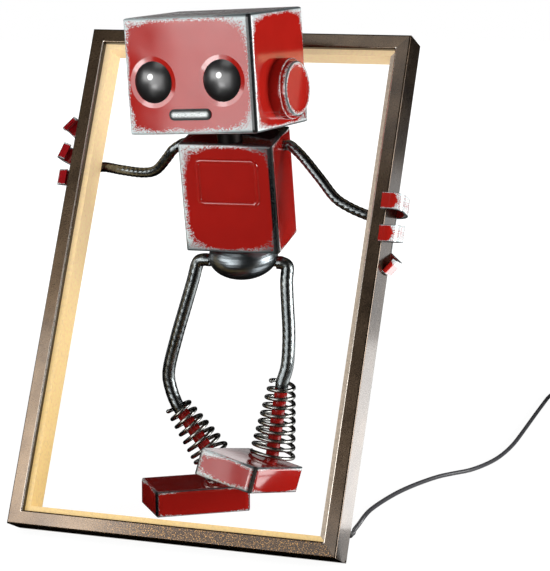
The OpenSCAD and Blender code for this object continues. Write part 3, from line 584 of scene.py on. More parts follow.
@dataclass(frozen=True)
class BlackenedSteel(Finish):
    """Mild steel, blackened in oil and burnished.

    The eye sees near-black metal with soft bright highlights that waver over shallow dents, and
    slightly lighter patches where the black is rubbed thin.

    Attributes:
        black: The colour of the black.
        thin: The colour where it is rubbed thin.
        gloss: The roughness.
        uneven: How far the roughness varies both ways.
        dents: How deep the dents are.
    """

    black: str = "#6C7172"
    thin: str = "#828786"
    gloss: float = 0.28
    uneven: float = 0.1
    dents: float = 0.1 * MM

    def paint(self, nodes: Nodes, coords: Socket) -> dict[str, Any]:
        """Adds the finish's nodes."""
        patches = nodes.noise(coords, 9 * MM, 4.0)
        ends = (self.gloss - self.uneven, self.gloss + self.uneven)
        return {
            "Base Color": nodes.blend(nodes.ramp(patches, (0.45, 0.75)), self.black, self.thin),
            "Roughness": nodes.line(patches, (0.0, 1.0), ends),
            "Metallic": 1.0,
            "Normal": nodes.relief(nodes.noise(coords, 7 * MM, 1.0), self.dents),
        }


@dataclass(frozen=True)
class BronzeLacquer(Finish):
    """Brown-bronze metallic lacquer on folded channel.

    The eye sees a warm dark brown with fine darker and lighter flakes along the rails, satin, with
    pale pinkish reflections where a face turns to the light. The inner side is nearly black with
    painted shade, and beside it the upright rails carry a painted highlight along the fold. The
    right end of a rail can carry painted shade, with golden flakes in it.

    Attributes:
        brown: The colour of the light flakes.
        shade: The colour of the dark flakes.
        shaded_right_end: How strong the painted shade on the right half is, with golden flakes in it, from 0
            to 1.
        outer: Half the frame's width and height.
    """

    brown: str = "#74614C"
    shade: str = "#4A3B2D"
    shaded_right_end: float = 0.0
    outer: tuple[float, float] = (0.167, 0.250)

    def paint(self, nodes: Nodes, coords: Socket) -> dict[str, Any]:
        """Adds the finish's nodes."""
        clouds = nodes.noise(coords, 34 * MM, 4.0)
        flakes = nodes.noise(coords, 0.9 * MM, 2.0)
        both = nodes.add("Mix", {0: 0.35, 2: clouds, 3: flakes}).outputs[0]
        colour = nodes.blend(nodes.line(both, (0.3, 0.7)), self.shade, self.brown)
        return {
            "Base Color": self.edged(nodes, coords, flakes, colour),
            "Metallic": 0.9,
            "Coat Weight": 0.6,
            "Coat Roughness": 0.12,
            "Roughness": nodes.line(flakes, (0.0, 1.0), (0.22, 0.36)),
            "Normal": nodes.relief(flakes, 0.06 * MM),
        }

    def edged(self, nodes: Nodes, coords: Socket, flakes: Socket, colour: Socket) -> Socket:
        """Paints shade on the right end and on the inner side, and a highlight along the fold of the upright
        rails.

        Args:
            nodes: The material's nodes.
            coords: Where the point is.
            flakes: The flakes' noise.
            colour: The lacquer's colour.

        Returns:
            The colour with its painted shade and painted highlight.
        """
        wide, tall = self.outer
        own = nodes.own(coords, FRAME.matrix() @ Matrix.Translation((0.0, 0.0, tall)))
        inward = nodes.vectors("SUBTRACT", (wide, 0.0, tall), nodes.vectors("ABSOLUTE", own))
        from_side, _, from_end = nodes.axes(inward)
        deep = nodes.maths("MINIMUM", from_side, from_end)
        # Painted shade over the rail's right end, with golden flakes in it.
        shade_with_gold_flakes = nodes.blend(nodes.line(flakes, (0.56, 0.64)), "#2E2015", "#A37A46")
        shaded_right_end = nodes.ramp(nodes.axes(own)[0], (-0.11, 0.0), (0.0, self.shaded_right_end))
        # Painted highlight along the rounded fold of the upright rails.
        near = nodes.line(deep, (12.2 * MM, 12.8 * MM))
        fold_highlight = nodes.maths("MULTIPLY", near, nodes.maths("LESS_THAN", from_side, 14.1 * MM))
        # Painted shade: the rail's inner side, between its front and the diffuser, is painted nearly black.
        groove = nodes.line(deep, (13.5 * MM, 13.8 * MM))
        for share, over in ((shaded_right_end, shade_with_gold_flakes), (fold_highlight, "#E2D6C9"), (groove, "#1A110B")):
            colour = nodes.blend(share, colour, over)
        return colour


@dataclass(frozen=True)
class OpalGlow(Finish):
    """Opal acrylic, lit from inside by warm LEDs.

    The eye sees an even warm cream light, paler at the top of the frame and more amber below.

    Attributes:
        pale: The light's colour at the top.
        amber: Its colour below.
        body: The acrylic's colour.
        glow: How strong the light is.
    """

    pale: str = "#E8CFA8"
    amber: str = "#E0BD78"
    body: str = "#8E8068"
    glow: float = 0.62

    def paint(self, nodes: Nodes, coords: Socket) -> dict[str, Any]:
        """Adds the finish's nodes."""
        share = nodes.ramp(nodes.axes(coords)[2], (0.02, 0.42))
        drift = nodes.maths("MULTIPLY_ADD", nodes.noise(coords, 40 * MM, 1.0), 0.5, -0.25)
        mixed = nodes.maths("ADD", share, drift, use_clamp=True)
        return {
            "Base Color": nodes.blend(nodes.noise(coords, 3 * MM, 2.0), self.body, self.amber),
            "Emission Color": nodes.blend(mixed, self.amber, self.pale),
            "Emission Strength": self.glow,
            "Roughness": 0.5,
            "IOR": 1.49,
        }


@dataclass(frozen=True)
class GlossDome(Finish):
    """Gloss black ABS dome with a printed white dot.

    The eye sees deep black that mirrors a soft light as a grey band, and one small round white dot
    above the middle.

    Attributes:
        dot: The dot's centre.
        dot_r: The dot's radius.
        dot_soft: Half the width of its soft rim.
    """

    dot: Triple = (0.0, 0.0, 0.0)
    dot_r: float = 2.9 * MM
    dot_soft: float = 0.25 * MM

    def paint(self, nodes: Nodes, coords: Socket) -> dict[str, Any]:
        """Adds the finish's nodes."""
        away = nodes.vectors("DISTANCE", coords, self.dot)
        inside = nodes.line(away, (self.dot_r - self.dot_soft, self.dot_r + self.dot_soft), (1.0, 0.0))
        return {
            "Base Color": nodes.blend(inside, "#101011", "#F6F6F6"),
            "Roughness": nodes.line(nodes.noise(coords, 6 * MM, 3.0), (0.0, 1.0), (0.3, 0.4)),
            "IOR": 1.7,
            "Coat Weight": 1.0,
            "Coat IOR": 1.6,
            "Coat Roughness": 0.25,
        }


@dataclass(frozen=True)
class HammeredTin(Finish):
    """Tinned sheet, hammered and brushed, with a black rim.

    The eye sees small bright silver facets inside a soft black outline.

    Attributes:
        place: The pill's own axes: x along it, z up, and its middle.
        size: The pill's length and height.
        rim: The width of the black rim.
    """

    place: Place = Place((0, 0, 0))
    size: tuple[float, float] = (44 * MM, 10.5 * MM)
    rim: float = 3.1 * MM
    tin: str = "#E4E8E8"
    groove: str = "#7E8887"
    black: str = "#141616"

    def paint(self, nodes: Nodes, coords: Socket) -> dict[str, Any]:
        """Adds the finish's nodes."""
        long, high = self.size
        outward = nodes.vectors("ABSOLUTE", nodes.own(coords, self.place.matrix()))
        past = nodes.vectors("SUBTRACT", outward, ((long - high) / 2, 0.0, 0.0))
        round_end = nodes.vectors("MAXIMUM", past, (0.0, 0.0, 0.0))
        away = nodes.vectors("LENGTH", nodes.vectors("MULTIPLY", round_end, (1.0, 0.0, 1.0)))
        edge = nodes.ramp(away, (high / 2 - 1.5 * self.rim, high / 2 - 0.5 * self.rim))
        share = nodes.line(nodes.noise(coords, 0.7 * MM, 3.0), (0.36, 0.54))
        return {
            "Base Color": nodes.blend(edge, nodes.blend(share, self.groove, self.tin), self.black),
            "Metallic": 0.3,
            "Roughness": 0.38,
            "Normal": nodes.relief(nodes.noise(coords, 1.3 * MM, 1.0), 0.35 * MM),
        }


@dataclass(frozen=True)
class Plain(Finish):
    """A one-colour finish with a fine grain, such as moulded ABS, flex or plated steel.

    The eye sees a slight mottle and a matt or bright sheen, as the values say.

    Attributes:
        colour: The colour of the high places.
        deep: The colour of the low places.
        grain: The size of the grain.
        depth: The relief of the grain.
        rough: The roughness.
        metal: 1 for a metal.
    """

    colour: str
    deep: str
    grain: float
    depth: float
    rough: float
    metal: float = 0.0

    def paint(self, nodes: Nodes, coords: Socket) -> dict[str, Any]:
        """Adds the finish's nodes."""
        grain = nodes.noise(coords, self.grain, 3.0)
        return {
            "Base Color": nodes.blend(nodes.line(grain, (0.35, 0.65)), self.deep, self.colour),
            "Roughness": nodes.line(grain, (0.0, 1.0), (self.rough - 0.06, self.rough + 0.06)),
            "Metallic": self.metal,
            "Normal": nodes.relief(grain, self.depth),
        }


def zinc(name: str) -> Plain:
    """Gives the finish of zinc-plated steel."""
    return Plain(name, "#B9BCBE", "#9DA1A4", grain=1.5 * MM, depth=0.02 * MM, rough=0.35, metal=1.0)


# ---------- Workshop ----------


@dataclass
class Workshop:
    """What every sub-assembly works with: the frame's nodes and the ways to add pieces to them."""

    frame: dict[str, Any]

    def dress(self, finish: Finish, *nodes: str) -> None:
        """Gives nodes of the frame one finish."""
        material = finish.make()
        for node in nodes:
            for slot in self.frame["nodes"][node].material_slots:
                slot.material = material
            LOG.info("%s is dressed in %s", node, material.name)

    def adopt(self, thing: bpy.types.Object, slot: Slot, *replaces: str) -> None:
        """Makes an object a piece of the lamp.

        Args:
            thing: The object. It rides on the lamp's own body.
            slot: Not used.
            replaces: Nodes that it stands for.
        """
        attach(thing, "lamp")
        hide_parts(*replaces)
        LOG.info("%s stands for %s", thing.name, ", ".join(replaces))

    def middle_line(self, node: str, near: Vector, sides: int) -> list[Vector]:
        """Finds the middle line of a swept bar of the frame.

        Args:
            node: The bar's node.
            near: A point near one of its ends.
            sides: How many sides the bar has.

        Returns:
            The middle of each ring of the bar, from that end to the other.
        """
        mesh = bmesh.new()
        mesh.from_mesh(self.frame["nodes"][node].data)
        bmesh.ops.remove_doubles(mesh, verts=mesh.verts, dist=0.01 * MM)
        flat = mesh.copy()
        bmesh.ops.dissolve_limit(flat, angle_limit=math.radians(0.5), verts=flat.verts, edges=flat.edges)
        caps = [f for f in flat.faces if len(f.verts) == sides]
        end = min(caps, key=lambda f: (f.calc_center_median() - near).length)
        corners = [v.co.copy() for v in end.verts]
        flat.free()
        ring = {min(mesh.verts, key=lambda v: (v.co - corner).length) for corner in corners}
        seen, line = set(ring), []
        while ring:
            line.append(sum((v.co for v in ring), Vector()) / len(ring))
            ring = {e.other_vert(v) for v in ring for e in v.link_edges} - seen
            seen |= ring
        mesh.free()
        return line


def sweep(
    path: Sequence[Vector], sides: int, radius: Callable[[float, float], float]
) -> bmesh.types.BMesh:
    """Sweeps a ring along a path, turning as little as it can.

    Args:
        path: The path's points.
        sides: Sides of the ring.
        radius: The radius for a distance along the path and an angle round it.

    Returns:
        A closed bar, shaded smooth.
    """
    mesh = bmesh.new()
    ring = bmesh.ops.create_circle(mesh, cap_ends=True, segments=sides, radius=1.0)["verts"]
    along = (path[1] - path[0]).normalized()
    side = along.orthogonal().normalized()
    walked = 0.0
    for i, point in enumerate(path):
        before, after = path[max(i - 1, 0)], path[min(i + 1, len(path) - 1)]
        along = (after - before).normalized()
        side = (side - along * side.dot(along)).normalized()
        other = along.cross(side)
        if i:
            walked += (point - before).length
            old = set(ring)
            rim = list({e for v in ring for e in v.link_edges if e.other_vert(v) in old})
            grown = bmesh.ops.extrude_edge_only(mesh, edges=rim)["geom"]
            new = {v for v in grown if isinstance(v, bmesh.types.BMVert)}
            ring = [next(e.other_vert(v) for e in v.link_edges if e.other_vert(v) in new) for v in ring]
        for k, vertex in enumerate(ring):
            angle = FULL_TURN * k / sides
            reach = radius(walked, angle)
            vertex.co = point + (side * math.cos(angle) + other * math.sin(angle)) * reach
    bmesh.ops.contextual_create(mesh, geom=ring)
    bmesh.ops.recalc_face_normals(mesh, faces=mesh.faces)
    for face in mesh.faces:
        face.smooth = True
    return mesh


# ---------- Light frame ----------


@dataclass
class LightFrame:
    """The leaning frame: mitred channels with a glowing diffuser inside them."""

    shop: Workshop

    def build(self) -> None:
        """Dresses the rails, the diffuser and what is inside them."""
        dress = self.shop.dress
        dress(BronzeLacquer("bronze_lacquer"), "rail_left", "rail_top")
        # Painted shade: a darker copy of the lacquer for the right rail.
        dress(BronzeLacquer("bronze_lacquer_shaded_right", "#655443", "#33281D"), "rail_right")
        # Painted shade over the bottom rail's right end.
        dress(BronzeLacquer("bronze_lacquer_bottom", shaded_right_end=0.95), "rail_bottom")
        dress(OpalGlow("opal_acrylic"), "diffuser_left", "diffuser_top", "diffuser_bottom")
        # Painted shade: a dimmer, greyer copy of the glow for the right diffuser.
        dress(OpalGlow("opal_acrylic_shaded_right", "#D6C8B8", "#CDBBA6", "#6E6252", 0.22), "diffuser_right")
        dress(Plain("led_board", "#EFEEE8", "#E2E0D6", 1.2 * MM, 0.02 * MM, 0.45), "led_strips")
        dress(zinc("zinc_plate"), "corner_keys")
        dress(Plain("gland_rubber", "#2A2A2B", "#1D1D1E", 0.7 * MM, 0.05 * MM, 0.6), "cable_gland")


# ---------- Head ----------


@dataclass
class Head:
    """The robot's head: a folded box with domed eyes, a mouth and an ear drum on each side.

    Attributes:
        size: The box's width, depth and height.
        eye_gap: The distance between the eyes.
        dot_up: The height of the eyes' dots.
        dot_out: How far the dots stand before the face.
        face_aside: How far the eyes are to the left of the middle.
        mouth_up: The height of the mouth's middle.
        ear_out: How far an ear's cap stands out, its place behind the middle and its height.
        drum_r: The radius of an ear's drum.
    """

    shop: Workshop
    size: Triple = (134.5 * MM, 107 * MM, 109 * MM)
    eye_gap: float = 72 * MM
    dot_up: float = 54.5 * MM
    dot_out: float = 5 * MM
    face_aside: float = 2.5 * MM
    mouth_up: float = 18.5 * MM
    ear_out: Triple = (16.5 * MM, 1.5 * MM, 35.7 * MM)
    drum_r: float = 28.5 * MM

    def build(self) -> None:
        """Dresses the head's pieces."""
        # The head's silver turns to slate towards its right side as painted shade. A painted dark reflection
        # lies on the front face beside the right fold.
        enamel = RubbedEnamel("head_enamel", place=HEAD, size=self.size)
        self.shop.dress(enamel, "head_shell", "head_plate")
        for side, name in SIDES:
            self.eye(side, name)
            self.ear(side, name)
        middle = HEAD.point((-self.face_aside / 2, -self.size[1] / 2, self.mouth_up))
        self.shop.dress(HammeredTin("hammered_tin", place=Place(tuple(middle), HEAD.turn)), "mouth_bar")

    def eye(self, side: int, name: str) -> None:
        """Dresses one eye, with its dot above the middle."""
        aside = side * self.eye_gap / 2 - self.face_aside
        dot = HEAD.point((aside, -self.size[1] / 2 - self.dot_out, self.dot_up))
        self.shop.dress(GlossDome(f"gloss_dome_{name}", dot=tuple(dot)), f"eye_{name}")

    def ear(self, side: int, name: str) -> None:
        """Dresses one ear: the drum, and the cap with its rubbed rim."""
        out, back, up = self.ear_out
        outer = HEAD.matrix() @ Matrix.Translation((side * (self.size[0] / 2 + out), back, up))
        outer = outer @ Matrix.Rotation(side * math.pi / 2, 4, "Y")
        cap = RubbedDisc(f"ear_cap_enamel_{name}", frame=outer, border=2.3 * MM, corner=0.0)
        # Painted shade: the drum's darker red stands in for the shade under the ear's cap.
        drum = RubbedDisc(
            f"ear_drum_shaded_enamel_{name}", frame=outer, radius=self.drum_r, sunk=5 * MM, border=0.6 * MM,
            corner=0.0, slate=0.3 * MM, cover=0.8, red="#8F1712",
        )
        self.shop.dress(cap, f"ear_cap_{name}")
        self.shop.dress(drum, f"ear_drum_{name}")


# ---------- Body ----------


@dataclass
class Torso:
    """The robot's torso: a folded box with a raised bead on its front, over the hip bowl."""

    shop: Workshop
    size: Triple = (94.5 * MM, 62 * MM, 110 * MM)

    def build(self) -> None:
        """Dresses the torso, the neck and the hip."""
        # The torso's silver turns to slate towards its right side as painted shade and turns darker towards
        # its foot. Its top carries a painted shadow under the head.
        enamel = RubbedEnamel(
            "torso_enamel", place=TORSO, size=self.size, border=3.0 * MM, corner=6 * MM, cover=0.97,
            right_shade=0.9, low_dull=0.5, side_wear=0.4, lean=-0.15, crown=0.95, red="#A01A14",
        )
        self.shop.dress(enamel, "torso_shell", "torso_plate")
        bowl = BlackenedSteel("blackened_bowl", "#7C8387", "#80878A", gloss=0.32, uneven=0.01, dents=0.0)
        self.shop.dress(bowl, "hip_bowl", "hip_axle")
        # Painted shade: the collar's near-black stands in for the shade between the head and the torso.
        self.shop.dress(BlackenedSteel("shaded_collar", "#1E1B1A", "#2A2625", gloss=0.5), "neck_collar")
        self.shop.dress(zinc("zinc_hardware"), "neck_stud", "neck_washer", "neck_nut")


@dataclass
class Rod:
    """A round rod, twisted and hammered, that follows the middle line of its solid.

    Attributes:
        node: The solid that it replaces.
        near: A point near one end.
        radius: The rod's radius.
        pitch: The distance along the rod between dents.
        dent: How deep the dents are, as a share of the radius.
        facets: How many dents there are round the rod.
        solid_sides: Sides of the solid's ring.
        sides: Sides of the rod's ring.
        smooth_end: The length over which the dents fade out towards an end.
        swell: The length over which they grow deeper and shallower.
    """

    shop: Workshop
    node: str
    near: Vector
    radius: float
    pitch: float
    dent: float
    facets: int = 4
    solid_sides: int = 12
    sides: int = 28
    smooth_end: float = 6 * MM
    swell: float = 11 * MM

    def build(self, steel: bpy.types.Material) -> None:
        """Makes the rod in this finish."""
        line = self.shop.middle_line(self.node, self.near, self.solid_sides)
        path = respaced(rounded(line, 4), 0.8 * MM)
        total = measured(path)
        turn = FULL_TURN / (self.facets * self.pitch)

        def reach(walked: float, angle: float) -> float:
            """Gives the radius where the rod is dented."""
            depth = self.dent * eased(min(walked, total - walked) / self.smooth_end)
            uneven = 0.75 + 0.25 * math.sin(walked / self.swell)
            wave = math.cos(self.facets * (angle + turn * walked))
            return self.radius * (1 + depth * (uneven * wave - 0.3))

        rod = shaped(f"{self.node}_rod", sweep(path, self.sides, reach), steel)
        self.shop.adopt(rod, Slot.GUNMETAL, self.node)


@dataclass
class Limbs:
    """The arms, the legs and the red shins inside the springs."""

    shop: Workshop
    arm_r: float = 5 * MM
    leg_r: float = 6.4 * MM

    def build(self) -> None:
        """Makes the rods and dresses the shins."""
        steel = BlackenedSteel("blackened_rod", gloss=0.27, dents=0.14 * MM).make()
        for side, name in SIDES:
            shoulder = TORSO.point((side * 0.047, 0.006, 0.098))
            hip = TORSO.point((side * 0.034, 0.0, -0.020))
            Rod(self.shop, f"arm_{name}", shoulder, self.arm_r, pitch=5.8 * MM, dent=0.03).build(steel)
            Rod(self.shop, f"leg_{name}", hip, self.leg_r, pitch=7 * MM, dent=0.012).build(steel)
        red = Plain("shin_enamel", "#9C1712", "#860F0C", 2 * MM, 0.05 * MM, 0.25)
        self.shop.dress(red, "shin_left", "shin_right")


@dataclass
class Springs:
    """The conical springs at the ankles, wound from round wire with rounded ends."""

    shop: Workshop
    wire_r: float = 1.95 * MM
    solid_sides: int = 8
    sides: int = 14

    def build(self) -> None:
        """Makes both springs."""
        wire = BlackenedSteel("burnished_spring_wire", "#8D8E8B", "#A9A9A4", 0.26, dents=0.03 * MM).make()
        for name, shoe in (("left", SHOE_LEFT), ("right", SHOE_RIGHT)):
            heel, middle = shoe.point((0.0, 0.033, 0.028)), shoe.point((0.0, 0.0, 0.028))
            line = self.shop.middle_line(f"spring_{name}", heel + 0.02 * (heel - middle), self.solid_sides)
            path = respaced(rounded(line, 3), 1.2 * MM)
            mesh = sweep(path, self.sides, self.taper(measured(path)))
            self.shop.adopt(shaped(f"spring_{name}_wire", mesh, wire), Slot.GUNMETAL, f"spring_{name}")

    def taper(self, total: float) -> Callable[[float, float], float]:
        """Gives the radius of a wire of this length, which rounds off at both ends."""

        def reach(walked: float, _angle: float) -> float:
            """Gives the wire's radius at a distance along it."""
            left = min(walked, total - walked) / self.wire_r
            return self.wire_r * math.sqrt(max(1 - max(1 - left, 0.0) ** 2, 0.02))

        return reach


@dataclass
class Shoes:
    """The box shoes and their soles."""

    shop: Workshop
    size: Triple = (66 * MM, 97 * MM, 26 * MM)

    def build(self) -> None:
        """Dresses the shoes: the lower one is rubbed less than the upper one."""
        # On both shoes the silver turns to slate towards the right as painted shade. A painted dark
        # reflection lies on the upper shoe's upright corners and beside the lower shoe's right front fold.
        left = RubbedEnamel(
            "shoe_enamel_left", place=SHOE_LEFT, size=self.size, border=0.9 * MM, corner=1.5 * MM,
            cover=0.8, right_shade=0.5, slate=0.8 * MM, side_wear=1.0, lean=0.0, red="#A01A14",
        )
        right = RubbedEnamel(
            "shoe_enamel_right", place=SHOE_RIGHT, size=self.size, border=2.0 * MM, corner=3 * MM,
            cover=0.95, right_shade=0.5, slate=0.7 * MM, side_wear=0.9, lean=-0.3, post_reflection=4.6 * MM, red="#9E1A14",
        )
        self.shop.dress(left, "shoe_left", "sole_left")
        self.shop.dress(right, "shoe_right", "sole_right")


@dataclass
class Hands:
    """The hands: a palm behind each side rail with three bent fingers.

    Attributes:
        left: For each left finger its height from the palm's middle, its splay and its drop.
        right: The same for the right hand.
    """

    shop: Workshop
    left: tuple[Triple, ...] = ((18.6 * MM, 40.5, 0.0), (0.8 * MM, 18.0, 0.0), (-14 * MM, 0.0, 0.24))
    right: tuple[Triple, ...] = ((24 * MM, 1.5, 0.0), (0.5 * MM, 1.0, 0.24), (-22 * MM, -38.0, 0.12))

    def build(self) -> None:
        """Dresses both hands."""
        left = RubbedFingers(
            "finger_enamel_left", hand=(-0.16, 0.0, 0.367), strips=self.left, border=0.9 * MM,
            corner=0.0, slate=0.5 * MM, red="#93151A",
        )
        right = RubbedFingers(
            "finger_enamel_right", strips=self.right, border=0.7 * MM, corner=8 * MM, cover=0.85,
            slate=0.5 * MM, curl=179 * MM, grain=0.5 * MM,
        )
        self.shop.dress(left, "hand_left")
        self.shop.dress(right, "hand_right")


# ---------- Supply ----------


@dataclass
class Supply:
    """The lead with its in-line switch, its coil and the plug-in driver.

    Attributes:
        diameter: The lead's diameter.
        length: Not used.
        run_mm: Its route from the gland to the coil, in millimetres in the lamp's frame.
        tail_mm: Its route from the coil to the driver.
        coil_at: The coil's middle.
        coil_beside: How far from the middle the lead comes in.
        coil_radii: The radii of the inner and the outer turns.
        coil_steps: Steps in each turn.
        coil_gap: The space left between turns and under them.
        fittings: Not used.
    """

    shop: Workshop
    diameter: float = 4.5 * MM
    length: float = 1.66
    run_mm: tuple[Triple, ...] = (
        (158.5, -32.6, 14), (153.5, -16.6, 11), (147.5, 2.4, 8), (139.5, 37.4, 4.5), (132.5, 70.4, 2.5),
        (129, 100.4, 2.3), (129, 140.4, 2.3), (131.5, 178.4, 2.3), (137.5, 215.4, 2.3),
        (147.5, 253.4, 2.3), (158.5, 275.4, 2.3), (170.5, 296.4, 2.3), (178.5, 330.4, 2.3),
        (181.5, 370.4, 2.3), (178.5, 430.4, 2.3), (169.5, 505.4, 2.3), (159.5, 583.4, 2.3),
        (150.5, 655.4, 2.3), (145.5, 700.4, 2.3), (146.5, 730.4, 2.3), (156.5, 757.4, 2.3),
        (175.5, 769.4, 2.3), (194.5, 762.4, 2.3), (204.5, 744.4, 3.5), (206.5, 719.4, 7),
        (206.5, 714.4, 7), (206.5, 710.4, 7), (206.5, 695, 7), (206.5, 666, 7), (206.5, 650.4, 7),
        (206.5, 646.4, 7), (206.5, 636.4, 4.6), (206.5, 625.4, 2.3), (206.5, 603.4, 2.3),
    )
    tail_mm: tuple[Triple, ...] = (
        (270.2, 592.9, 2.3), (270.2, 601.3, 3.6), (270.2, 611.2, 8.65), (270.2, 621.0, 13.7),
        (270.2, 628.5, 15), (270.2, 632.3, 15),
    )
    coil_at: Vector = field(default_factory=lambda: Vector((238.35, 585.4, 0)) * MM)
    coil_beside: float = 31.85 * MM
    coil_radii: tuple[float, float] = (22.75 * MM, 27.25 * MM)
    coil_steps: int = 24
    coil_gap: float = 0.05 * MM
    fittings: tuple[str, ...] = (
        "switch_base", "switch_cover", "switch_rocker", "switch_pin", "switch_screws",
        "driver_body", "driver_prongs",
    )

    def coil(self) -> list[Vector]:
        """Winds the coil: out at the bottom, in, up, and out at the top."""
        inner, outer = self.coil_radii
        low, high = self.diameter / 2 + self.coil_gap, 1.5 * self.diameter + self.coil_gap
        first, last = 180, 1440
        steps = self.coil_steps * (last - first) // 360
        points: list[Vector] = []
        for i in range(steps + 1):
            turn = first + (last - first) * i / steps
            drop = math.pi / 2 * eased((turn - 1350) / 90)
            r = self.coil_beside + (outer - self.coil_beside) * eased((turn - first) / 75)
            r += (inner - outer) * (eased((turn - 480) / 60) - eased((turn - 1080) / 60))
            r += (self.diameter + 2 * self.coil_gap) * math.sin(drop)
            z = low + (high - low) * (eased((turn - 780) / 60) - 1 + math.cos(drop))
            angle = math.radians(turn)
            points.append(self.coil_at + Vector((r * math.cos(angle), r * math.sin(angle), z)))
        return points

    def path(self) -> list[Vector]:
        """Gives the lead's whole route, from the gland's tip to the driver."""
        gland_end = FRAME.point((0.158, 0.024, 0.030))
        start = gland_end + FRAME.way(FORWARD) * 2 * MM
        run, tail = ([Vector(p) * MM for p in points] for points in (self.run_mm, self.tail_mm))
        return rounded([start, gland_end, *run, *self.coil(), *tail], 3)

    def build(self) -> None:
        """Makes the lead and dresses the switch and the driver."""
        path = self.path()
        curve = bpy.data.curves.new("lead", "CURVE")
        curve.dimensions = "3D"
        curve.bevel_depth = self.diameter / 2
        curve.bevel_resolution = 4
        curve.use_fill_caps = True
        spline = curve.splines.new("POLY")
        spline.points.add(len(path) - 1)
        for point, place in zip(spline.points, path):
            point.co = (*place, 1.0)
        flex = Plain("flex_jacket", "#4A4A4D", "#3B3B3E", 1.1 * MM, 0.05 * MM, 0.42)
        curve.materials.append(flex.make())
        lead = placed("lead", curve)
        self.shop.adopt(lead, Slot.CORD, "cord_run", "cord_link", "cord_coil", "cord_tail")
        LOG.info("the lead is %.4f m long", measured(path))
        self.dress_fittings()

    def dress_fittings(self) -> None:
        """Dresses the switch and the driver."""
        moulded = Plain("moulded_abs", "#232324", "#19191A", 0.8 * MM, 0.05 * MM, 0.48)
        smooth = Plain("polished_abs", "#1B1B1C", "#151516", 2.0 * MM, 0.01 * MM, 0.2)
        nickel = Plain("nickel_plate", "#C9C7C2", "#B4B1AB", 2.0 * MM, 0.01 * MM, 0.2, metal=1.0)
        self.shop.dress(moulded, "switch_base", "switch_cover", "driver_body")
        self.shop.dress(smooth, "switch_rocker")
        self.shop.dress(nickel, "switch_pin", "switch_screws", "driver_prongs")


# ---------- Studio ----------


@dataclass(frozen=True)
class Opening:
    """A gap in the black cloth, where faces mirror the white backdrop.

    Attributes:
        apex: Where its two upright sides would meet.
        first: The bearing of its left side, in degrees to the right of straight back.
        last: The bearing of its right side.
        reach: How far from the apex it ends.
        low: The height at which it starts.
        high: The height at which it ends.
    """

    apex: Triple
    first: float
    last: float
    reach: float
    low: float
    high: float = 0.6

    def ahead(self) -> Vector:
        """Gives the level direction in which it lies."""
        turn = math.radians((self.first + self.last) / 2)
        return Vector((math.sin(turn), math.cos(turn), 0))

    def cuts(self) -> Iterator[tuple[Vector, Vector]]:
        """Gives a point and the normal of each plane that bounds it."""
        yield self.high * UP, UP
        yield self.low * UP, UP
        for bearing in (self.first, self.last):
            turn = math.radians(bearing)
            yield Vector(self.apex), Vector((math.cos(turn), -math.sin(turn), 0))
        yield Vector(self.apex) + self.ahead() * self.reach, self.ahead()

    def holds(self, point: Vector) -> bool:
        """Says whether a point lies in it."""
        away = point - Vector(self.apex)
        bearing = math.degrees(math.atan2(away.x, away.y))
        near = away.dot(self.ahead()) < self.reach
        return near and self.first < bearing < self.last and self.low < point.z < self.high


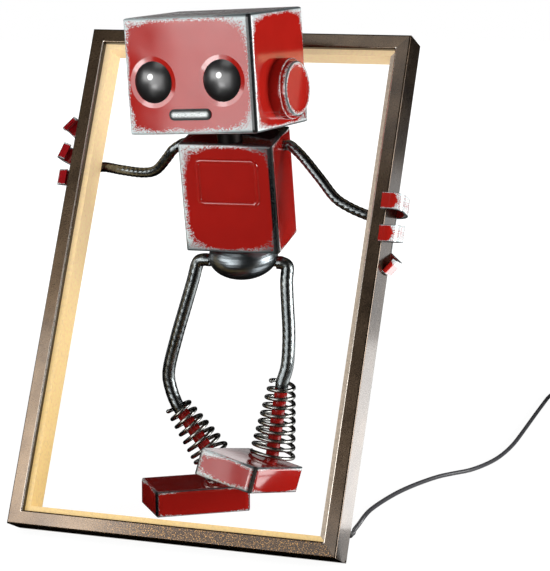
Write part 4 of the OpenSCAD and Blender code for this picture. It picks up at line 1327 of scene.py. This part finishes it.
@dataclass
class Studio:
    """The camera, the lamps, the floor and the world.

    Attributes:
        eye: Where the camera is.
        look: The direction in which it looks.
        frame_px: The picture's width and height.
        focal_px: The focal length, in pixels of that picture.
        key_size: The key lamp's width and height.
        lift: How far the key lamp is above the floor.
        fill: How bright the world is, where only its light matters.
        tent_r: The radius of the black cloth.
        tent_low: How far the black cloth lies above the floor.
        openings: The gaps in it.
    """

    eye: Vector = field(default_factory=lambda: Vector((0.8805, -2.0116, 0.580)))
    look: Vector = field(default_factory=lambda: Vector((-0.3703, 0.9157, -0.1559)))
    frame_px: tuple[int, int] = (550, 571)
    focal_px: float = 2327.0
    sensor_mm: float = 36.0
    key_size: tuple[float, float] = (1.2, 0.95)
    lift: float = 0.02
    fill: float = 0.2
    tent_r: float = 4.0
    tent_low: float = 1.5 * MM
    openings: tuple[Opening, ...] = (
        Opening((0.0, 0.0, 0.0), first=-34.0, last=-12.0, reach=9.0, low=0.3),
        Opening((0.17, -0.1, 0.0), first=12.0, last=24.0, reach=3.4, low=-1.0),
    )

    def camera(self) -> None:
        """Makes the camera. The sensor's width is the picture's longer side."""
        data = bpy.data.cameras.new("camera")
        data.sensor_width = self.sensor_mm
        data.lens = self.focal_px * self.sensor_mm / max(self.frame_px)
        data.clip_start, data.clip_end = 0.05, 100
        camera = placed("camera", data)
        camera.location = self.eye
        camera.rotation_mode = "QUATERNION"
        camera.rotation_quaternion = self.look.to_track_quat("-Z", "Y")
        bpy.context.scene.camera = camera

    def softbox(
        self, name: str, at: Vector, towards: Sequence[float], size: tuple[float, float], radiance: float
    ) -> bpy.types.Object:
        """Makes one soft rectangular lamp.

        Args:
            name: The lamp's name.
            at: Its middle.
            towards: The point that it faces.
            size: Its width and height.
            radiance: How bright its face is, where a white floor is 1.

        Returns:
            The lamp.
        """
        data = bpy.data.lights.new(name, "AREA")
        data.shape = "RECTANGLE"
        data.size, data.size_y = size
        data.energy = radiance * math.pi * size[0] * size[1]
        lamp = placed(name, data)
        lamp.location = at
        lamp.rotation_mode = "QUATERNION"
        lamp.rotation_quaternion = (Vector(towards) - at).to_track_quat("-Z", "Y")
        lamp.visible_camera = False
        return lamp

    def mirrored(self, point: Vector, normal: Vector, distance: float) -> Vector:
        """Gives the place that a flat face mirrors towards the camera.

        Args:
            point: A point of the face.
            normal: The face's outward normal.
            distance: How far from the face that place is.

        Returns:
            The place.
        """
        ray = (point - self.eye).normalized()
        bounce = ray - 2 * ray.dot(normal) * normal
        return point + bounce * distance

    def key_lamps(self) -> None:
        """Places the key lamp, with its edge mirrored in the left of the robot's face, and its cards."""
        edge = self.mirrored(HEAD.point((-0.053, -0.0535, 0.05)), HEAD.way(FORWARD), distance=1.5)
        across = Vector((-edge.y, edge.x, 0)).normalized()
        middle = edge + across * (self.key_size[0] / 2)
        middle.z = self.key_size[1] / 2 + self.lift
        self.softbox("key", middle, (0, 0, middle.z), self.key_size, radiance=2.6)
        card = middle * 0.72
        card.z = 10 * MM
        self.softbox("table_card", card, card + UP, (0.9, 0.5), radiance=1.6)
        high = Vector((middle.x * 0.8, middle.y * 0.7, 1.75))
        self.softbox("high", high, (0, 0, 0.4), (0.9, 0.6), radiance=1.5)

    def rail_lamps(self) -> None:
        """Places the lamps that the rails mirror: their fronts on the left, their sides on the right."""
        low_left, low_right, high_left = (
            self.mirrored(FRAME.point((x, -0.032, z)), FRAME.way(FORWARD), distance=1.1)
            for x, z in ((-0.60, -0.08), (-0.03, -0.08), (-0.60, 0.25))
        )
        size = ((low_right - low_left).length, (high_left - low_left).length)
        at = (low_right + high_left) / 2
        self.softbox("rail_lamp", at, FRAME.point((-0.1, 0, 0.1)), size, radiance=4.2)
        self.softbox("right", Vector((1.7, 0.3, 0.34)), (0, 0, 0.28), (1.2, 0.7), radiance=12.5)
        backward = Vector((0.375, 0.927, 0))
        card = FRAME.point((0.167, -0.016, 0.0)) + 0.62 * backward
        card.z = 4 * MM
        lying = self.softbox("rail_card", card, card + UP, (0.22, 1.0), radiance=2.4)
        turn = Matrix.Rotation(math.radians(-22), 3, "Z") @ Matrix.Rotation(math.pi, 3, "X")
        lying.rotation_quaternion = turn.to_quaternion()

    def small_lamps(self) -> None:
        """Places the lamps mirrored in one shoe, the head's top and the bowl, and the rim light."""
        toe = self.mirrored(SHOE_RIGHT.point((-0.014, -0.0485, 0.013)), SHOE_RIGHT.way(FORWARD), distance=0.5)
        self.softbox("toe_lamp", toe, SHOE_RIGHT.point((0, 0, 0.013)), (0.045, 0.15), radiance=2.0)
        top = HEAD.point((0, 0, 0.109))
        crown = self.mirrored(top, HEAD.way(UP), distance=1.5)
        self.softbox("crown_card", crown, top, (0.9, 0.16), radiance=0.1)
        facing = Vector((0.02, -0.99, -0.02)).normalized()
        belly = self.mirrored(TORSO.point((-0.008, -0.035, -0.012)), facing, distance=1.2)
        self.softbox("bowl_lamp", belly, TORSO.point((0, 0, -0.01)), (0.34, 0.3), radiance=7.0)
        self.softbox("left_rim", Vector((-1.7, 0.5, 0.3)), (0, 0, 0.25), (0.3, 0.5), radiance=1.4)

    def tent(self) -> None:
        """Hangs black cloth all round, open behind the lamp towards the white backdrop.

        Only reflections see it: it throws no shadow and takes no soft light away.
        """
        mesh = bmesh.new()
        bmesh.ops.create_uvsphere(mesh, u_segments=96, v_segments=48, radius=self.tent_r)
        self.cut(mesh, self.tent_low * UP, -UP, clear_outer=True)
        bmesh.ops.contextual_create(mesh, geom=[e for e in mesh.edges if e.is_boundary])
        for opening in self.openings:
            for place, way in opening.cuts():
                self.cut(mesh, place, way)
        gaps = [f for f in mesh.faces if any(o.holds(f.calc_center_median()) for o in self.openings)]
        bmesh.ops.delete(mesh, geom=gaps, context="FACES")
        cloth = bpy.data.materials.new("black_cloth")
        nodes = Nodes.of(cloth)
        black = nodes.add("BsdfDiffuse", {"Color": (0.004, 0.004, 0.004, 1)})
        nodes.add("OutputMaterial", {"Surface": black.outputs[0]})
        tent = shaped("black_cloth", mesh, cloth)
        tent.visible_camera = tent.visible_shadow = tent.visible_diffuse = False
        tent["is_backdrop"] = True

    @staticmethod
    def cut(mesh: bmesh.types.BMesh, place: Vector, way: Vector, clear_outer: bool = False) -> None:
        """Cuts a mesh along a plane.

        Args:
            mesh: The mesh.
            place: A point of the plane.
            way: The plane's normal.
            clear_outer: Whether the side that the normal points to is taken away.
        """
        geom = [*mesh.verts, *mesh.edges, *mesh.faces]
        bmesh.ops.bisect_plane(mesh, geom=geom, plane_co=place, plane_no=way, clear_outer=clear_outer)

    def floor(self) -> None:
        """Lays a wide white floor that keeps the lamp's shadow."""
        mesh = bmesh.new()
        bmesh.ops.create_circle(mesh, cap_ends=True, segments=96, radius=9.0)
        material = bpy.data.materials.new("white_paper")
        nodes = Nodes.of(material)
        away = nodes.vectors("LENGTH", nodes.coordinates())
        share = nodes.maths("MULTIPLY", self.seen(nodes), nodes.ramp(away, (0.7, 1.6), (0.78, 1.0)))
        paper = nodes.add("BsdfDiffuse", {"Color": (0.82, 0.82, 0.82, 1)}).outputs[0]
        plain = nodes.add("Emission", {"Color": (1, 1, 1, 1), "Strength": 1.2}).outputs[0]
        mixed = nodes.add("MixShader", {0: share, 1: paper, 2: plain}).outputs[0]
        nodes.add("OutputMaterial", {"Surface": mixed})
        shaped("floor", mesh, material)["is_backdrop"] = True

    @staticmethod
    def seen(nodes: Nodes) -> Socket:
        """Tells the rays that see the white background from the ones that only bring light.

        Args:
            nodes: The nodes of the floor or the world.

        Returns:
            1 for camera, glossy and transmission rays.
        """
        rays = nodes.add("LightPath").outputs
        shiny = nodes.maths("MAXIMUM", rays["Is Glossy Ray"], rays["Is Transmission Ray"])
        return nodes.maths("MAXIMUM", rays["Is Camera Ray"], shiny)

    def world(self) -> None:
        """Fills the studio with a dim grey that the camera sees as white."""
        world = bpy.data.worlds.new("studio")
        bpy.context.scene.world = world
        nodes = Nodes.of(world)
        strength = nodes.line(self.seen(nodes), (0.0, 1.0), (self.fill, 1.0))
        sky = nodes.add("Background", {"Color": (1, 1, 1, 1), "Strength": strength})
        nodes.add("OutputWorld", {"Surface": sky.outputs[0]})

    def build(self) -> None:
        """Makes the whole studio."""
        bpy.context.scene.view_settings.view_transform = "Standard"
        self.camera()
        self.key_lamps()
        self.rail_lamps()
        self.small_lamps()
        self.tent()
        self.floor()
        self.world()


def corners() -> list[list[float]]:
    """Gives the lowest and highest corner of what is shown, as plain lists."""
    return [list(corner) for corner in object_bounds()]


def main() -> None:
    """Builds the dressed lamp."""
    logging.basicConfig(level=logging.INFO, format="%(name)s: %(message)s")
    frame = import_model()
    Studio().build()
    shop = Workshop(frame)
    for part in (Supply, LightFrame, Head, Torso, Limbs, Springs, Shoes, Hands):
        part(shop).build()


if __name__ == "__main__":
    main()
